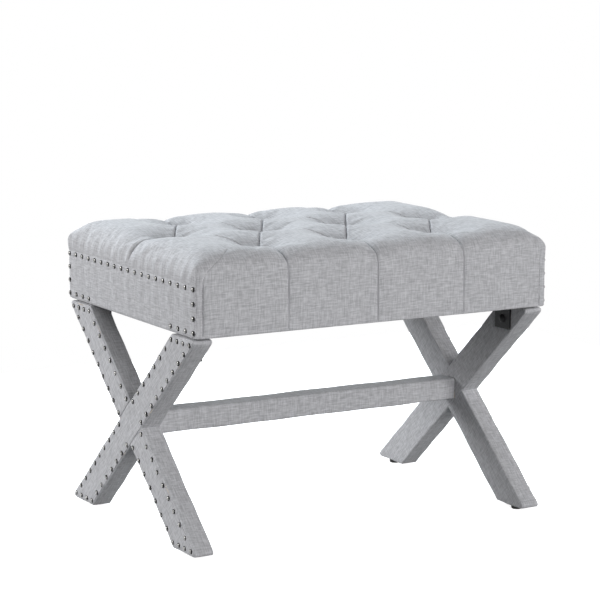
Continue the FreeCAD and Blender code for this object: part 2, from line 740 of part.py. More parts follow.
def leg_core(label, side, foot_side, keeps_outside):
    """One wooden leg bar with half its thickness taken away where the other bar crosses."""
    start = LEG_INNER + " + cloth" if side == RIGHT else "-(%s - cloth)" % LEG_OUTER
    middle = "%d * %s" % (side, LEG_MIDDLE)
    outline = bar_outline(foot_side, "cloth", "core_corner_cut")
    crossing_outline = bar_outline(-foot_side, "cloth", "core_corner_cut")
    body = padded_outline(label, "YZ_Plane", outline, start, "leg_depth - 2 * cloth")
    lap = outline_sketch(body, label + "_lap", "YZ_Plane", crossing_outline, middle)
    pocket = body.newObject("PartDesign::Pocket", label + "_pocket")
    pocket.Profile = lap
    pocket.setExpression("Length", bound("leg_depth / 2"))
    pocket.Reversed = keeps_outside == (side == LEFT)
    return body


def sleeve_blank(label, side, outline):
    start = LEG_INNER if side == RIGHT else "-" + LEG_OUTER
    return padded_outline(label, "YZ_Plane", outline, start, "leg_depth")


def lap_screw(room):
    radius = mm("lap_screw_radius") + room
    length = mm("lap_screw_length") + room
    return turned([(0, 0), (2 * radius, 0), (radius, radius), (radius, length - radius), (0, length)])


glide_bore = mm("glide_nail_radius + clearance")
glide = turned([
    (glide_bore, mm("glide_recess")),
    (mm("glide_recess_radius"), mm("glide_recess")),
    (mm("glide_recess_radius"), 0),
    (mm("glide_radius - glide_chamfer"), 0),
    (mm("glide_radius"), mm("glide_chamfer")),
    (mm("glide_radius"), mm("glide_height")),
    (glide_bore, mm("glide_height")),
])
glide_nail = turned([
    (0, mm("glide_recess - glide_nail_head")),
    (mm("glide_nail_head_radius"), mm("glide_recess - glide_nail_head")),
    (mm("glide_nail_head_radius"), mm("glide_recess")),
    (mm("glide_nail_radius"), mm("glide_recess")),
    (mm("glide_nail_radius"), mm("glide_nail_length")),
    (0, mm("glide_nail_length + glide_nail_radius")),
])
foot_y = mm("overall_depth / 2 - foot_reach / 2")
glide_x = mm(LEG_OUTER + " - glide_inset")

stud_length = mm("stud_in_stretcher + cloth + " + INSERT_LENGTH)
stud = cylinder(mm("stud_radius"), FreeCAD.Vector(0, 0, 0), UP, stud_length)
stretcher_insert = insert(mm("stud_radius + clearance"))
studs = []
stretcher_inserts = []
stud_holes = []
lap_screws = []
glide_nails = []

for name, side in SIDES:
    outward = FreeCAD.Vector(side, 0, 0)
    crossing = FreeCAD.Vector(side * mm(LEG_INNER + " + cloth"), 0, mm(CROSSING))
    stud_start = crossing - outward * mm("stud_in_stretcher + cloth")
    stud_hole = cylinder(mm("stud_radius + clearance"), stud_start - outward * mm("clearance"), outward,
                         mm("stud_in_stretcher + 3 * cloth"))
    studs.append(placed(stud, stud_start, outward))
    stud_holes.append(stud_hole)
    stretcher_inserts.append(placed(stretcher_insert, crossing, outward))
    crossing_holes = [cylinder(mm("insert_radius + clearance"), crossing, outward, mm(INSERT_LENGTH))]
    for offset in (-mm("lap_screw_offset"), mm("lap_screw_offset")):
        screw_place = crossing + FreeCAD.Vector(0, offset, 0)
        lap_screws.append(placed(lap_screw(0), screw_place, outward))
        crossing_holes.append(placed(lap_screw(mm("clearance")), screw_place, outward))
    sole_holes = []
    for end_name, end in ENDS:
        foot = FreeCAD.Vector(side * glide_x, end * foot_y, 0)
        node(shape_feature("%s_%s_glide" % (name, end_name), placed(glide, foot, UP)))
        glide_nails.append(placed(glide_nail, foot, UP))
        sole_holes.append(cylinder(glide_bore, foot, UP, mm("glide_nail_length + 2 * glide_nail_radius")))
    wood_holes = crossing_holes + sole_holes + leg_insert_holes + leg_nail_holes[name]
    cloth_holes = sole_holes + leg_bolt_holes + [stud_hole] + leg_nail_holes[name]
    core_holes = group(name + "_core_holes", wood_holes)
    sleeve_holes = group(name + "_sleeve_holes", cloth_holes)

    through_core = leg_core(name + "_back_leg_blank", side, BACK, True)
    lapped_core = leg_core(name + "_front_leg_blank", side, FRONT, False)
    node(cut(name + "_back_leg", through_core, core_holes))
    node(cut(name + "_front_leg", lapped_core, core_holes))

    both_cores = fuse(name + "_leg_cores", through_core, lapped_core)
    through_outside = sleeve_blank(name + "_back_leg_outside", side, bar_outline(BACK, "0", "corner_cut"))
    through_sleeve = cut(name + "_back_leg_sleeve", through_outside, both_cores)
    node(cut(name + "_back_leg_cover", through_sleeve, sleeve_holes))
    for half_name, half in (("lower", -1), ("upper", 1)):
        label = "%s_front_leg_%s" % (name, half_name)
        outside = sleeve_blank(label + "_outside", side, half_bar_outline(FRONT, half))
        short = cut(label + "_short", outside, through_outside)
        half_sleeve = cut(label + "_sleeve", short, both_cores)
        node(cut(label + "_cover", half_sleeve, sleeve_holes))
    node(group(name + "_leg_nails", leg_nails[name]))

node(group("glide_nails", glide_nails))
node(group("lap_screws", lap_screws))

# Stretcher between the two crossings
BAR_HALF_DEPTH = "(stretcher_depth / 2 - cloth)"
BAR_HEIGHT = "(stretcher_height - 2 * cloth)"
stretcher_blank = centred_box("stretcher_blank", LEG_INNER, BAR_HALF_DEPTH,
                              "%s - %s / 2" % (CROSSING, BAR_HEIGHT), BAR_HEIGHT)
stud_clearance = group("stud_clearance", stud_holes)
node(cut("stretcher", stretcher_blank, stud_clearance))
stretcher_outside = centred_box("stretcher_outside", "(%s - stretcher_gap)" % LEG_INNER,
                                "(stretcher_depth / 2)", CROSSING + " - stretcher_height / 2",
                                "stretcher_height")
node(cut("stretcher_cover", stretcher_outside, stretcher_blank))
node(group("stretcher_studs", studs))
node(group("stretcher_inserts", stretcher_inserts))

# Angle brackets between the leg tops and the seat
bracket_holes = group("bracket_holes", leg_bolt_holes + seat_bolt_holes)
bracket_bottom = DUST_SHEET_BOTTOM + " - bracket_drop"
flange_bottom = DUST_SHEET_BOTTOM + " - bracket_thickness"
flange_tip = LEG_INNER + " - bracket_reach"
wall_inside = LEG_INNER + " - bracket_thickness"
BRACKET_PROFILE = [
    (LEG_INNER, bracket_bottom),
    (LEG_INNER, DUST_SHEET_BOTTOM),
    (flange_tip, DUST_SHEET_BOTTOM),
    (flange_tip, flange_bottom),
    (wall_inside, flange_bottom),
    (wall_inside, bracket_bottom),
]
for name, side in SIDES:
    for end_name, end in ENDS:
        label = "%s_%s_bracket" % (name, end_name)
        outline = [("%d * (%s)" % (side, x), z) for x, z in BRACKET_PROFILE]
        start = "-(%d * %s) - bracket_width / 2" % (end, LEG_CENTRE_AT_BOLT)
        blank = padded_outline(label + "_blank", "XZ_Plane", outline, start, "bracket_width")
        node(cut(label, blank, bracket_holes))
node(group("bracket_leg_bolts", leg_bolts))
node(group("bracket_leg_inserts", leg_inserts))
node(group("bracket_seat_bolts", seat_bolts))
node(group("bracket_tee_nuts", tee_nuts))

doc.recompute()

for piece in doc.Objects:
    if {"Invalid", "Error"} & set(piece.State):
        raise RuntimeError("%s could not be built: %s" % (piece.Label, piece.State))
for piece in nodes:
    if piece.Shape.isNull() or not piece.Shape.isValid() or not piece.Shape.Solids:
        raise RuntimeError("%s has no sound solid" % piece.Label)

os.makedirs("parts", exist_ok=True)
for piece in nodes:
    piece.Shape.exportStep("parts/%s.step" % piece.Label)
    print("%-28s %3d solids %10.1f mm3" % (piece.Label, len(piece.Shape.Solids), piece.Shape.Volume))
print(len(nodes), "nodes")
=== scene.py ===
# %% [markdown]
# # A tufted ottoman on crossed legs
#
# The real object is a small bench: a padded, deep-tufted seat in grey linen, two X-shaped end frames
# in linen sleeves trimmed with nail heads, and one stretcher between the crossings.
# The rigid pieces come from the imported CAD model, which is loaded as a fixed frame. This lesson makes what is
# soft or shows most: the tufted cover, the sleeves, the nails, the cloth below, and every finish.

# %% Load the frame
import json
import math

import bpy
import bmesh
import numpy as np
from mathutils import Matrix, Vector


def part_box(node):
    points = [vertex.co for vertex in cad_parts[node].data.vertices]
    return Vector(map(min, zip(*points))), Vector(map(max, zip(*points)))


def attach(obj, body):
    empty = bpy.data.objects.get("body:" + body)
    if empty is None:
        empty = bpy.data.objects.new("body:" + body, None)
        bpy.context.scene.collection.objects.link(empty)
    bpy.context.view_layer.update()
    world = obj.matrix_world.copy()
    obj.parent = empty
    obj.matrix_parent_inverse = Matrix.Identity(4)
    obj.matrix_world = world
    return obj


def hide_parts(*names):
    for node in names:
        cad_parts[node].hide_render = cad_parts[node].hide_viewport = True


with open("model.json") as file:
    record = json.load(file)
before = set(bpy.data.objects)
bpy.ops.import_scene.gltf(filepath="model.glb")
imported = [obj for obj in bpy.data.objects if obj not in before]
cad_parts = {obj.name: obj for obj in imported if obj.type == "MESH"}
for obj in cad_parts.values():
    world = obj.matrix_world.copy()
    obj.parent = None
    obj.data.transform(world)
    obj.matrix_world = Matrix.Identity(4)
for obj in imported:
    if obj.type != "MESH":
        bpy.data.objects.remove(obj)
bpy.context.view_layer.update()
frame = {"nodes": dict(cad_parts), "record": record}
nodes = frame["nodes"]

# %% [markdown]
# ## Camera
# The photograph was taken from far away with a long lens, a little above the seat, so the lines stay nearly
# parallel. The place and the lens were worked out from the legs' corners. The camera looks straight at the
# middle of the picture, so no lens shift is needed.

# %% Camera
bpy.ops.object.select_all(action="DESELECT")
bpy.ops.object.camera_add(location=(-1.7938, -3.1501, 0.9291))
camera = bpy.context.object
camera.data.lens = 135.46
camera.data.sensor_width = 36
camera.rotation_euler = (math.radians(90 - 9.188), 0, math.radians(-29.553))
bpy.context.scene.camera = camera
print("camera lens", camera.data.lens, "mm")

# %% [markdown]
# ## Studio
# Five large soft lamps stand round the object: one low to the left and a little behind, two low in front,
# a weak one to the right, and a cooler one behind and above, which lights the pads and leaves their front
# slopes darker. Low lamps reach under the seat, so that the stretcher and the legs aren't lost in its shadow.
# The floor is white to the camera and to reflections, but dull to the light that bounces off it. Its own glow
# is most of that white, and the light on it makes up the rest, so that the shadow under the object stays.
# It is no larger than the lamps light evenly, and beyond it the world itself is white.

# %% Floor
FLOOR_GLOW = 0.8
FLOOR_SIZE = 2.6
FLOOR_BOUNCE = (0.2, 0.2, 0.2, 1)
FLOOR_WHITE = (0.98, 0.98, 0.98, 1)
bpy.ops.mesh.primitive_plane_add(size=FLOOR_SIZE, location=(0, 0, 0))
floor = bpy.context.object
floor.name = "studio_floor"


def new_material(name):
    """An empty node material: the material, its nodes, its links and its surface shader."""
    material = bpy.data.materials.new(name)
    material.use_nodes = True
    tree = material.node_tree
    shader = tree.nodes["Principled BSDF"]
    return material, tree.nodes, tree.links, shader


def seen_directly(tree):
    """A socket that is 1 for what the camera sees, mirrored or through glass too."""
    path = tree.nodes.new("ShaderNodeLightPath")
    seen = path.outputs["Is Camera Ray"]
    for ray in ("Is Glossy Ray", "Is Transmission Ray"):
        either = tree.nodes.new("ShaderNodeMath")
        either.operation = "MAXIMUM"
        tree.links.new(seen, either.inputs[0])
        tree.links.new(path.outputs[ray], either.inputs[1])
        seen = either.outputs[0]
    return seen


floor_paint, paint_nodes, paint_links, paint_shader = new_material("studio_white")
paint_shader.inputs["Roughness"].default_value = 1.0
paint_shader.inputs["Specular IOR Level"].default_value = 0.0
paint_shader.inputs["Emission Color"].default_value = (1, 1, 1, 1)
is_seen = seen_directly(floor_paint.node_tree)
floor_tone = paint_nodes.new("ShaderNodeMix")
floor_tone.data_type = "RGBA"
floor_tone.inputs["A"].default_value = FLOOR_BOUNCE
floor_tone.inputs["B"].default_value = FLOOR_WHITE
paint_links.new(is_seen, floor_tone.inputs["Factor"])
paint_links.new(floor_tone.outputs["Result"], paint_shader.inputs["Base Color"])
floor_glow = paint_nodes.new("ShaderNodeMix")
floor_glow.inputs["A"].default_value = 0.0
floor_glow.inputs["B"].default_value = FLOOR_GLOW
paint_links.new(is_seen, floor_glow.inputs["Factor"])
paint_links.new(floor_glow.outputs["Result"], paint_shader.inputs["Emission Strength"])
floor.data.materials.append(floor_paint)
print("floor", floor.name)

# %% World
FILL_STRENGTH = 0.02
world = bpy.data.worlds.new("studio")
bpy.context.scene.world = world
world.use_nodes = True
background = world.node_tree.nodes["Background"]
background.inputs["Color"].default_value = (1, 1, 1, 1)
fill = world.node_tree.nodes.new("ShaderNodeMix")
fill.inputs["A"].default_value = FILL_STRENGTH
fill.inputs["B"].default_value = 1.0
world.node_tree.links.new(seen_directly(world.node_tree), fill.inputs["Factor"])
world.node_tree.links.new(fill.outputs["Result"], background.inputs["Strength"])
bpy.context.scene.view_settings.view_transform = "Standard"
print("fill", FILL_STRENGTH)

# %% Lamps
SEAT_MIDDLE = Vector((0, 0, 0.3))
LAMP_DISTANCE = 4.0
LAMP_SIZE = 2.0


def soft_lamp(name, heading, power, colour=(1, 1, 1)):
    """A square lamp that stands in one direction from the seat and looks at it."""
    heading = Vector(heading).normalized()
    bpy.ops.object.light_add(type="AREA", location=SEAT_MIDDLE + heading * LAMP_DISTANCE)
    lamp = bpy.context.object
    lamp.name = name
    lamp.data.size = LAMP_SIZE
    lamp.data.energy = power
    lamp.data.color = colour
    lamp.rotation_euler = heading.to_track_quat("Z", "Y").to_euler()
    print(name, "at", [round(place, 2) for place in lamp.location])


soft_lamp("left_lamp", (-0.85, 0.42, 0.31), 130)
soft_lamp("front_left_lamp", (-0.14, -0.96, 0.2), 60)
soft_lamp("front_right_lamp", (0.45, -0.86, 0.24), 65)
soft_lamp("right_lamp", (0.96, 0.14, 0.22), 60)
soft_lamp("back_lamp", (0.0, 0.78, 0.63), 168, (0.86, 0.95, 1.0))

# %% [markdown]
# ## Linen
# The cloth is a plain weave of uneven yarn: some threads are thicker, paler or darker than their neighbours,
# so that thin streaks run both ways across it. Each piece carries a map named "weave", in metres, laid along
# its threads. In each direction a long, thin noise makes the streaks and a broader one the thick yarns.
# The fine weave is bump only.

# %% Linen
WEAVE_MAP = "weave"
LINEN_DARK = (0.385, 0.385, 0.402, 1)
LINEN_PALE = (0.605, 0.605, 0.628, 1)


def streaks(nodes, links, source, along, across, detail):
    """Noise drawn out along one thread direction; along and across are cycles per metre."""
    stretch = nodes.new("ShaderNodeMapping")
    stretch.inputs["Scale"].default_value = (along, across, 1)
    noise = nodes.new("ShaderNodeTexNoise")
    noise.noise_dimensions = "2D"
    noise.inputs["Scale"].default_value = 1.0
    noise.inputs["Detail"].default_value = detail
    noise.inputs["Roughness"].default_value = 0.6
    links.new(source, stretch.inputs["Vector"])
    links.new(stretch.outputs["Vector"], noise.inputs["Vector"])
    return noise.outputs["Fac"]


def combined(nodes, links, operation, first, second):
    """Two sockets, or a socket and a number, through one sum."""
    node = nodes.new("ShaderNodeMath")
    node.operation = operation
    links.new(first, node.inputs[0])
    if isinstance(second, (int, float)):
        node.inputs[1].default_value = second
    else:
        links.new(second, node.inputs[1])
    return node.outputs[0]


linen, linen_nodes, linen_links, linen_shader = new_material("grey_linen")
weave_map = linen_nodes.new("ShaderNodeUVMap")
weave_map.uv_map = WEAVE_MAP
threads = weave_map.outputs["UV"]
weft = streaks(linen_nodes, linen_links, threads, 75, 560, 2)
warp = streaks(linen_nodes, linen_links, threads, 560, 75, 2)
slub_weft = streaks(linen_nodes, linen_links, threads, 36, 400, 1)
slub_warp = streaks(linen_nodes, linen_links, threads, 400, 42, 1)
shares = ((weft, 0.3), (warp, 0.26), (slub_weft, 0.24), (slub_warp, 0.2))
yarns = [combined(linen_nodes, linen_links, "MULTIPLY", tone, share) for tone, share in shares]
cloth_tone = yarns[0]
for tone in yarns[1:]:
    cloth_tone = combined(linen_nodes, linen_links, "ADD", cloth_tone, tone)
linen_ramp = linen_nodes.new("ShaderNodeValToRGB")
linen_ramp.color_ramp.elements[0].position = 0.385
linen_ramp.color_ramp.elements[0].color = LINEN_DARK
linen_ramp.color_ramp.elements[1].position = 0.615
linen_ramp.color_ramp.elements[1].color = LINEN_PALE
linen_links.new(cloth_tone, linen_ramp.inputs["Fac"])
linen_links.new(linen_ramp.outputs["Color"], linen_shader.inputs["Base Color"])
linen_shader.inputs["Roughness"].default_value = 0.92
linen_shader.inputs["Specular IOR Level"].default_value = 0.15
linen_shader.inputs["Sheen Weight"].default_value = 0.1
linen_shader.inputs["Sheen Roughness"].default_value = 0.5

fine_weft = linen_nodes.new("ShaderNodeTexWave")
fine_weft.bands_direction = "Y"
fine_warp = linen_nodes.new("ShaderNodeTexWave")
fine_warp.bands_direction = "X"
for fine in (fine_weft, fine_warp):
    fine.inputs["Scale"].default_value = 380
    fine.inputs["Distortion"].default_value = 1.5
    fine.inputs["Detail"].default_value = 1
    linen_links.new(threads, fine.inputs["Vector"])
weave = combined(linen_nodes, linen_links, "ADD", fine_weft.outputs["Fac"], fine_warp.outputs["Fac"])
weave = combined(linen_nodes, linen_links, "MULTIPLY", weave, 0.3)
relief = combined(linen_nodes, linen_links, "ADD", weave, cloth_tone)
linen_bump = linen_nodes.new("ShaderNodeBump")
linen_bump.inputs["Strength"].default_value = 0.12
linen_bump.inputs["Distance"].default_value = 0.0006
linen_links.new(relief, linen_bump.inputs["Height"])
linen_links.new(linen_bump.outputs["Normal"], linen_shader.inputs["Normal"])
print("linen:", len(linen_nodes), "shader nodes")

# %% [markdown]
# ## Helpers for modelling
# Operators work on what is selected, so every step first clears the selection. These few helpers pick
# a piece, pick some of its corners by their place, read or write all its points at once, and do what every
# piece needs: copies with their own mesh, modifiers, thickness, a weave map and a finish.


# %% Helpers
def pick(piece):
    """Makes one piece the only selected and active one."""
    bpy.ops.object.select_all(action="DESELECT")
    piece.select_set(True)
    bpy.context.view_layer.objects.active = piece


def edit(piece):
    """Opens a piece for editing with nothing selected."""
    pick(piece)
    bpy.ops.object.mode_set(mode="EDIT")
    bpy.ops.mesh.select_all(action="DESELECT")


def done():
    bpy.ops.object.mode_set(mode="OBJECT")


def choose_edges(piece, wanted):
    """In edit mode, selects the edges for which wanted(first point, second point) is true."""
    bpy.ops.mesh.select_mode(type="EDGE")
    shape = bmesh.from_edit_mesh(piece.data)
    for edge in shape.edges:
        edge.select_set(wanted(edge.verts[0].co, edge.verts[1].co))
    bmesh.update_edit_mesh(piece.data)


def choose_faces(piece, wanted):
    """In edit mode, selects the faces for which wanted(middle, normal) is true."""
    bpy.ops.mesh.select_mode(type="FACE")
    shape = bmesh.from_edit_mesh(piece.data)
    for face in shape.faces:
        face.select_set(wanted(face.calc_center_median(), face.normal))
    bmesh.update_edit_mesh(piece.data)


def choose_points(piece, wanted):
    """In edit mode, selects the points for which wanted(place) is true."""
    bpy.ops.mesh.select_mode(type="VERT")
    shape = bmesh.from_edit_mesh(piece.data)
    for point in shape.verts:
        point.select_set(wanted(point.co))
    shape.select_flush_mode()
    bmesh.update_edit_mesh(piece.data)


def read_points(piece, what="co"):
    """All points of a mesh, or their normals, as rows of x, y, z."""
    flat = np.zeros(len(piece.data.vertices) * 3)
    piece.data.vertices.foreach_get(what, flat)
    return flat.reshape(-1, 3)


def write_points(piece, points):
    piece.data.vertices.foreach_set("co", np.asarray(points).ravel())
    piece.data.update()


def turned_over(piece):
    """Lets all faces of a sheet look the other way."""
    edit(piece)
    bpy.ops.mesh.select_all(action="SELECT")
    bpy.ops.mesh.flip_normals()
    done()


def faced_outwards(piece):
    edit(piece)
    bpy.ops.mesh.select_all(action="SELECT")
    bpy.ops.mesh.normals_make_consistent(inside=False)
    done()


def own_copy(piece):
    """A copy of a piece with its own mesh."""
    copy = piece.copy()
    copy.data = piece.data.copy()
    bpy.context.collection.objects.link(copy)
    return copy


def joined(pieces, name):
    """Joins pieces into the first of them."""
    bpy.ops.object.select_all(action="DESELECT")
    for piece in pieces:
        piece.select_set(True)
    bpy.context.view_layer.objects.active = pieces[0]
    bpy.ops.object.join()
    pieces[0].name = name
    return pieces[0]


def copied_to(pattern, moves, name):
    """Copies a pattern piece once for each move, and joins the copies."""
    copies = [own_copy(pattern) for move in moves]
    for copy, move in zip(copies, moves):
        write_points(copy, read_points(pattern) + np.array(move))
    return joined(copies, name)


def apply_modifier(piece, modifier):
    pick(piece)
    bpy.ops.object.modifier_apply(modifier=modifier.name)


def subdivided(piece, levels):
    """One more round of smooth subdivision, applied."""
    smooth = piece.modifiers.new("finer", "SUBSURF")
    smooth.levels = levels
    smooth.render_levels = levels
    apply_modifier(piece, smooth)


def thickened(piece, thickness):
    """Gives a sheet its thickness, inwards from the face that shows."""
    wall = piece.modifiers.new("thickness", "SOLIDIFY")
    wall.thickness = thickness
    wall.offset = -1
    apply_modifier(piece, wall)


def smoothly_shaded(piece, degrees):
    pick(piece)
    bpy.ops.object.shade_smooth_by_angle(angle=math.radians(degrees))


def sliced(piece, heading, distances):
    """Cuts new edge loops across a piece, square to heading, without parting it."""
    heading = Vector(heading).normalized()
    edit(piece)
    for distance in distances:
        bpy.ops.mesh.select_all(action="SELECT")
        bpy.ops.mesh.bisect(plane_co=heading * distance, plane_no=heading)
    done()


def new_block(name, low, high):
    """A block between two corners, with its place in its mesh."""
    low, high = Vector(low), Vector(high)
    bpy.ops.object.select_all(action="DESELECT")
    bpy.ops.mesh.primitive_cube_add(size=1, location=(low + high) / 2)
    block = bpy.context.object
    block.name = name
    block.scale = high - low
    bpy.ops.object.transform_apply(location=True, rotation=True, scale=True)
    return block


def eased(low, high, value):
    """0 below low, 1 above high and smooth between."""
    t = np.clip((value - low) / (high - low), 0, 1)
    return t * t * (3 - 2 * t)


def lay_weave(piece, place_of):
    """Writes the weave map: place_of(points, normals) gives u and v in metres for every face corner."""
    mesh = piece.data
    weave_layer = mesh.uv_layers.get(WEAVE_MAP) or mesh.uv_layers.new(name=WEAVE_MAP)
    corner_points = np.zeros(len(mesh.loops), np.int32)
    mesh.loops.foreach_get("vertex_index", corner_points)
    face_normals = np.zeros(len(mesh.polygons) * 3)
    mesh.polygons.foreach_get("normal", face_normals)
    counts = np.zeros(len(mesh.polygons), np.int32)
    mesh.polygons.foreach_get("loop_total", counts)
    corner_normals = np.repeat(face_normals.reshape(-1, 3), counts, axis=0)
    places = place_of(read_points(piece)[corner_points], corner_normals)
    weave_layer.data.foreach_set("uv", np.asarray(places, np.float32).ravel())


def finish_piece(piece, material):
    """What every new piece needs at the end: finish, slot and body."""
    piece.data.materials.clear()
    piece.data.materials.append(material)
    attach(piece, "root")


print("helpers ready")

# %% [markdown]
# ## Tufted cover: the block
# An upholsterer starts with a block of foam on a deck and pulls the cover down with buttons. The block here
# is a cube remeshed into even small squares, so that the cloth can bend anywhere. A remesh shaves the edges,
# so the cube is a little too large, is pressed back to its true box, and its edges are rounded after that:
# wide at the top, where padding rolls over them, and tight along the bottom and at the upright corners.
# The long edges slope more than they drop, as part of an ellipse. The upright corners are square at the rails
# and soften towards the top: the corner numbers are powers, and the higher one is squarer.

# %% Block
cover_low, cover_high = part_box("seat_cover")
CROWN_START = 0.470
END_ROUND = 0.046
SIDE_ROUND = 0.026
SIDE_SLOPE = 0.070
BOTTOM_ROUND = 0.0025
SOFT_CORNER = 5
SQUARE_CORNER = 60
CLOTH_GRID = 0.005
SPARE = Vector((0.003, 0.003, 0.003))

block_low = cover_low.copy()
block_high = Vector((cover_high.x, cover_high.y, CROWN_START))
cover = new_block("tufted_cover", block_low - SPARE, block_high + SPARE)
remesh = cover.modifiers.new("even_squares", "REMESH")
remesh.mode = "VOXEL"
remesh.voxel_size = CLOTH_GRID
apply_modifier(cover, remesh)


def rolled_over(points):
    """Rounds the top edges of the block, and its upright corners a little."""
    flat_end = block_high.x - END_ROUND
    flat_side = block_high.y - SIDE_SLOPE
    sizes = np.abs(points)
    to_end = np.clip(sizes[:, 0] - flat_end, 0, None) / END_ROUND
    to_side = np.clip(sizes[:, 1] - flat_side, 0, None) / SIDE_SLOPE
    endwise = to_end ** 2 / (to_end ** 2 + to_side ** 2 + 1e-9)
    rise = SIDE_ROUND + (END_ROUND - SIDE_ROUND) * endwise
    to_top = np.clip(points[:, 2] - (CROWN_START - rise), 0, None) / rise
    squareness = SOFT_CORNER + (SQUARE_CORNER - SOFT_CORNER) * (1 - np.clip(to_top, 0, 1)) ** 3
    outward = (to_end ** squareness + to_side ** squareness) ** (1 / squareness)
    kept = 1 / np.maximum(np.hypot(outward, to_top), 1)
    x = np.sign(points[:, 0]) * (np.minimum(sizes[:, 0], flat_end) + to_end * kept * END_ROUND)
    y = np.sign(points[:, 1]) * (np.minimum(sizes[:, 1], flat_side) + to_side * kept * SIDE_SLOPE)
    z = np.minimum(points[:, 2], CROWN_START - rise) + to_top * kept * rise
    return np.stack([x, y, z], axis=1)


def tucked_under(points):
    """Rounds the bottom edge tightly, as cloth pulled over a rail."""
    flat = np.array(block_high[:2]) - BOTTOM_ROUND
    sizes = np.abs(points[:, :2])
    out = np.clip(sizes - flat, 0, None) / BOTTOM_ROUND
    down = np.clip(block_low.z + BOTTOM_ROUND - points[:, 2], 0, None) / BOTTOM_ROUND
    kept = 1 / np.maximum(np.hypot(out.max(axis=1), down), 1)
    plan = np.sign(points[:, :2]) * (np.minimum(sizes, flat) + out * kept[:, None] * BOTTOM_ROUND)
    z = np.maximum(points[:, 2], block_low.z + BOTTOM_ROUND) - down * kept * BOTTOM_ROUND
    return np.column_stack([plan, z])


points = np.clip(read_points(cover), block_low, block_high)
write_points(cover, tucked_under(rolled_over(points)))
edit(cover)
bpy.ops.mesh.select_all(action="SELECT")
bpy.ops.mesh.remove_doubles(threshold=CLOTH_GRID / 5)
bpy.ops.mesh.normals_make_consistent(inside=False)
done()
print("block:", len(cover.data.vertices), "points")

# %% [markdown]
# ## Tufted cover: where it is sewn
# Ten tufts stand in rows of three, four and three. Folds run between neighbouring tufts as a diamond pattern,
# straight from the outer rows over the long edges and down the sides, and from the outermost tufts over the
# ends. Every fold is a line on the plan, and those over the edges end a little past them.

# %% Tufts and folds
TUFT_PITCH = 0.1575
TUFT_ROW = 0.135
NAIL_ROW = 0.4145
PAST_SIDE = 0.26
PAST_END = 0.345
outer_tufts = [(x, y) for y in (-TUFT_ROW, TUFT_ROW) for x in (-TUFT_PITCH, 0.0, TUFT_PITCH)]
middle_tufts = [(x * TUFT_PITCH, 0.0) for x in (-1.5, -0.5, 0.5, 1.5)]
tufts = outer_tufts + middle_tufts
diagonals = [(outer, middle) for outer in outer_tufts for middle in middle_tufts
             if abs(outer[0] - middle[0]) < TUFT_PITCH]
over_sides = [((x, y), (x, math.copysign(PAST_SIDE, y))) for x, y in outer_tufts]
over_ends = [((x, y), (math.copysign(PAST_END, x), y)) for x, y in (middle_tufts[0], middle_tufts[-1])]
print("tufts:", len(tufts), "diagonal folds:", len(diagonals))


def along_and_off(points, start, end):
    """How far each point is along a line on the plan, off it and aside of it, and the line's length."""
    start, end = np.array(start), np.array(end)
    length = np.linalg.norm(end - start)
    heading = (end - start) / length
    offset = points[:, :2] - start
    along = offset @ heading
    aside = offset[:, 0] * -heading[1] + offset[:, 1] * heading[0]
    past = np.where(along < 0, -along, np.where(along > length, along - length, 0))
    return np.clip(along, 0, length), np.hypot(aside, past), aside, length


# %% [markdown]
# ## Tufted cover: pulling it down
# A button draws the cloth into a broad dip all round it, and the folds over the edges draw it into shallower
# ones. Halfway between two buttons the cloth stays nearly as high as the pads. It lies flat under a button's
# rim. Only cloth above the deck is drawn in, because the rails below it don't give way.
# The folds get their narrow depth later, after the pads have swollen.

# %% Pull the tufts down
DIP_DEPTH = 0.0235
DIP_REACH = 0.080
SIDE_DIP = 0.008
END_DIP = 0.004
FOLD_DIP_REACH = 0.045
BUTTON_RIM = 0.0085
ABOVE_DECK = (0.428, 0.460)
TOP_LEVEL = 0.42
NAIL_CLEAR = 0.010

points = read_points(cover)
normals = read_points(cover, "normal")
is_upper = eased(*ABOVE_DECK, points[:, 2])


def off_button(points, tuft):
    """How far each point is outside a button's rim, on the plan."""
    return np.clip(np.hypot(points[:, 0] - tuft[0], points[:, 1] - tuft[1]) - BUTTON_RIM, 0, None)


sink = np.zeros(len(points))
for tuft in tufts:
    dip = DIP_DEPTH * np.clip(1 - off_button(points, tuft) / DIP_REACH, 0, 1) ** 2
    sink = np.maximum(sink, dip * is_upper)
for lines, depth in ((over_sides, SIDE_DIP), (over_ends, END_DIP)):
    for line in lines:
        dip = depth * np.clip(1 - along_and_off(points, *line)[1] / FOLD_DIP_REACH, 0, 1) ** 2
        sink = np.maximum(sink, dip * is_upper)
write_points(cover, points - normals * sink[:, None])
print("deepest pull", round(float(sink.max()) * 1000, 1), "mm")


def off_folds(points):
    """How far each point is off the nearest fold or button, where the cloth is held."""
    on_top = points[:, 2] > TOP_LEVEL
    above_nails = points[:, 2] > NAIL_ROW + NAIL_CLEAR
    nearest = np.full(len(points), np.inf)
    for lines, allowed in ((diagonals, on_top), (over_sides, points[:, 2] > 0), (over_ends, above_nails)):
        for line in lines:
            off = along_and_off(points, *line)[1]
            nearest = np.minimum(nearest, np.where(allowed, off, np.inf))
    for tuft in tufts:
        nearest = np.minimum(nearest, np.where(on_top, off_button(points, tuft), np.inf))
    return nearest


# %% [markdown]
# ## Tufted cover: letting it swell
# Blender's cloth finds the soft shape. The points on a fold, on the bottom and under the nail row are pinned
# where the thread and the nails hold them, and a light pressure from inside swells the pads between.
# The movement is capped, so that no pad grows past the real one.

# %% Swell
SWELL_FRAMES = 20
SWELL_CAP = 0.0022
SIDE_CAP = 0.0018
SEWN_WIDTH = 0.0032
NAIL_HOLD = 0.004
HELD_BOTTOM = 0.352
HELD_END = 0.300

